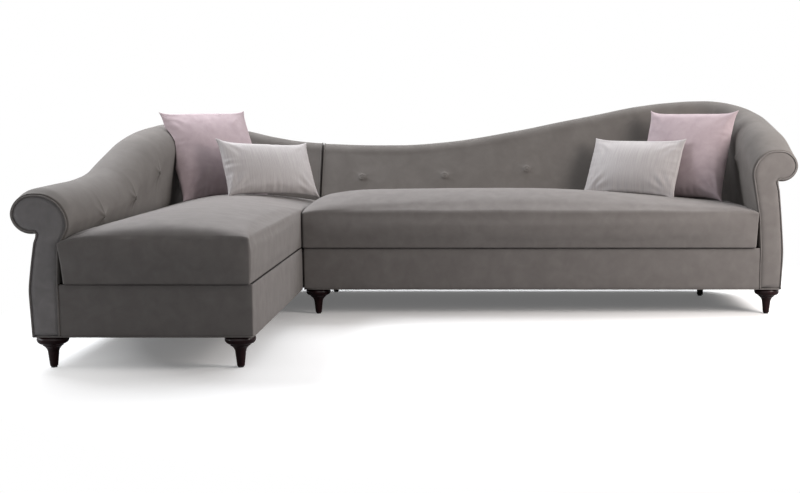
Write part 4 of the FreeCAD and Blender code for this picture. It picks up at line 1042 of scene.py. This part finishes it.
def throw_pillow(name):
    """Knife-edge pillow with a plump filling, leant in its place and pressed back by the wall."""
    width, tall, thick, (lean, roll, turn), place, material, slot = PILLOWS[name]
    unit = name.split("_")[0]
    points, faces = pillow_cover(width, tall, thick, place[0] / 100)
    points = inflated(points, faces, np.zeros(len(points)), *PILLOW_SWELL)
    points -= (points.max(0) + points.min(0)) / 2
    local = points * (np.array([width, thick, tall]) / np.ptp(points, axis=0)) + np.array([0, 0, tall / 2])
    spin = (Matrix.Rotation(math.radians(turn), 3, "Z") @ Matrix.Rotation(math.radians(-lean), 3, "X")
            @ Matrix.Rotation(math.radians(roll), 3, "Y"))
    posed = local @ np.array(spin).T + np.array(place)
    # It stays clear of the wall as it rides on the cushion, which slides forward.
    for slide, gap in SLIDE_GAPS:
        ahead = np.array([0, slide, 0])
        posed = pressed_from_wall(RIMS[unit], posed - ahead, gap) + ahead
    # It sinks a little into the cushion that it stands on.
    posed[:, 2] = np.maximum(posed[:, 2], seat_top(unit)(posed[:, 0], posed[:, 1]) - PILLOW_SUNK)
    piece = made(name + "_throw_pillow", posed, faces, material, name, (name + "_pillow",), slot, 0.7)
    uv = piece.data.uv_layers.new(name="cloth")
    loops = np.array([l.vertex_index for l in piece.data.loops])
    uv.data.foreach_set("uv", (local[:, [0, 2]] * MM)[loops].astype(np.float32).ravel())
    smoothed(piece)


for unit in UNITS:
    covered_buttons(unit, inner_wall(unit))
    outer_wall(unit)
    scroll_facing(unit)
    piping(unit)
    front_band(unit)
    side_cloth(unit)
    deck_pad(unit)
    dust_sheet(unit)
    bench_cushion(unit)
for pillow in PILLOWS:
    throw_pillow(pillow)


# ---------------------------------------------------------------- stage, light and camera
# The floor's half width, and the oval round the sofa in which it shows a shadow: its middle's place
# along the sofa and its half length and depth, all in metres
FLOOR_HALF, SHADOW_X, SHADOW_LONG, SHADOW_DEEP = 60, 0.19, 2.6, 2.3


def studio_floor():
    """Pale floor that goes to pure white away from the sofa, and keeps the sofa's soft shadow."""
    mesh = bpy.data.meshes.new("floor")
    corners = [(x * FLOOR_HALF, y * FLOOR_HALF, 0) for x, y in ((-1, -1), (1, -1), (1, 1), (-1, 1))]
    mesh.from_pydata(corners, [], [(0, 1, 2, 3)])
    floor = linked("studio_floor", mesh)
    material = bpy.data.materials.new("matt_white_paper")
    material.use_nodes = True
    tree = material.node_tree
    tree.nodes.clear()
    sheet = add(tree, "BsdfDiffuse", Color=linear("#ffffff"))
    spill = add(tree, "Emission", Color=(1, 1, 1, 1), Strength=0.13)
    paper = add(tree, "AddShader", {0: sheet, 1: spill})
    bounced = add(tree, "BsdfDiffuse", Color=linear("#9c9c9c"))
    white = add(tree, "Emission", Color=(1, 1, 1, 1), Strength=1.0)
    place = add(tree, "TexCoord").outputs["Object"]
    near = add(tree, "Mapping", {"Vector": place}, Location=(-SHADOW_X, 0, 0),
               Scale=(1 / SHADOW_LONG, 1 / SHADOW_DEEP, 1))
    round_ = add(tree, "TexGradient", {"Vector": near}, gradient_type="SPHERICAL")
    ground = add(tree, "MapRange", {"Value": round_.outputs["Fac"]}, From_Max=0.3)
    shown = add(tree, "MixShader", {0: ground, 1: white, 2: paper})
    path = add(tree, "LightPath")
    both = {0: path.outputs["Is Camera Ray"], 1: bounced, 2: shown}
    mixed = add(tree, "MixShader", both)
    add(tree, "OutputMaterial", {"Surface": mixed})
    mesh.materials.append(material)


def studio_world():
    """White to the eye, in gloss and through glass, and a weak light all round."""
    world = bpy.data.worlds.new("studio")
    bpy.context.scene.world = world
    world.use_nodes = True
    tree = world.node_tree
    tree.nodes.clear()
    path = add(tree, "LightPath")
    seen = path.outputs["Is Camera Ray"]
    for ray in ("Is Glossy Ray", "Is Transmission Ray"):
        seen = add(tree, "Math", {0: seen, 1: path.outputs[ray]}, operation="MAXIMUM")
    light = add(tree, "Background", Color=(1, 1, 1, 1), Strength=0.2)
    white = add(tree, "Background", Color=(1, 1, 1, 1), Strength=1.0)
    mixed = add(tree, "MixShader", {0: seen, 1: light, 2: white})
    add(tree, "OutputWorld", {"Surface": mixed})


def softbox(name, place, aim, width, height, power, tint):
    """A rectangular lamp at its place, turned to where it is aimed."""
    lamp = bpy.data.lights.new(name, "AREA")
    lamp.shape, lamp.size, lamp.size_y, lamp.energy = "RECTANGLE", width, height, power
    lamp.color = linear(tint)[:3]
    box = linked(name, lamp)
    box.location = place
    box.rotation_mode = "QUATERNION"
    box.rotation_quaternion = (Vector(aim) - Vector(place)).to_track_quat("-Z", "Y")


# Each lamp: its place and aim, its width and height, all in metres, its watts and its tint
WHITE, WARM, COOL = "#ffffff", "#fff8f4", "#f9fbff"
LAMPS = (
    ("rear_softbox", (0.5, 1.75, 2.7), (0.5, 0.1, 0.3), 4.2, 1.4, 80, COOL),
    ("left_overhead", (-2.6, 0.6, 2.5), (-0.3, -0.3, 0.4), 1.6, 1.6, 115, COOL),
    ("right_overhead", (3.0, 0.8, 2.5), (0.3, -0.2, 0.4), 1.6, 1.6, 46, WHITE),
    ("right_softbox", (2.6, -1.2, 1.4), (0.4, 0.2, 0.35), 1.2, 1.2, 70, WARM),
    ("front_fill", (0.3, -5.5, 1.6), (0.2, 0.0, 0.4), 4.0, 2.0, 12, WHITE),
    ("left_softbox", (-3.1, -1.25, 0.5), (-1.0, -1.1, 0.1), 1.2, 0.8, 13, COOL),
)
studio_floor()
studio_world()
for lamp in LAMPS:
    softbox(*lamp)

# The camera that was fitted to the photo: a 50 mm lens, looking down by 6.5 degrees
camera = linked("camera", bpy.data.cameras.new("camera"))
camera.location = (0.0935, -4.887, 0.890)
camera.rotation_euler = (math.radians(90 - 6.5), 0, 0)
camera.data.lens, camera.data.sensor_width = 50.0, 36.0
camera.data.shift_x = -0.095
bpy.context.scene.camera = camera
bpy.context.scene.view_settings.view_transform = "Standard"
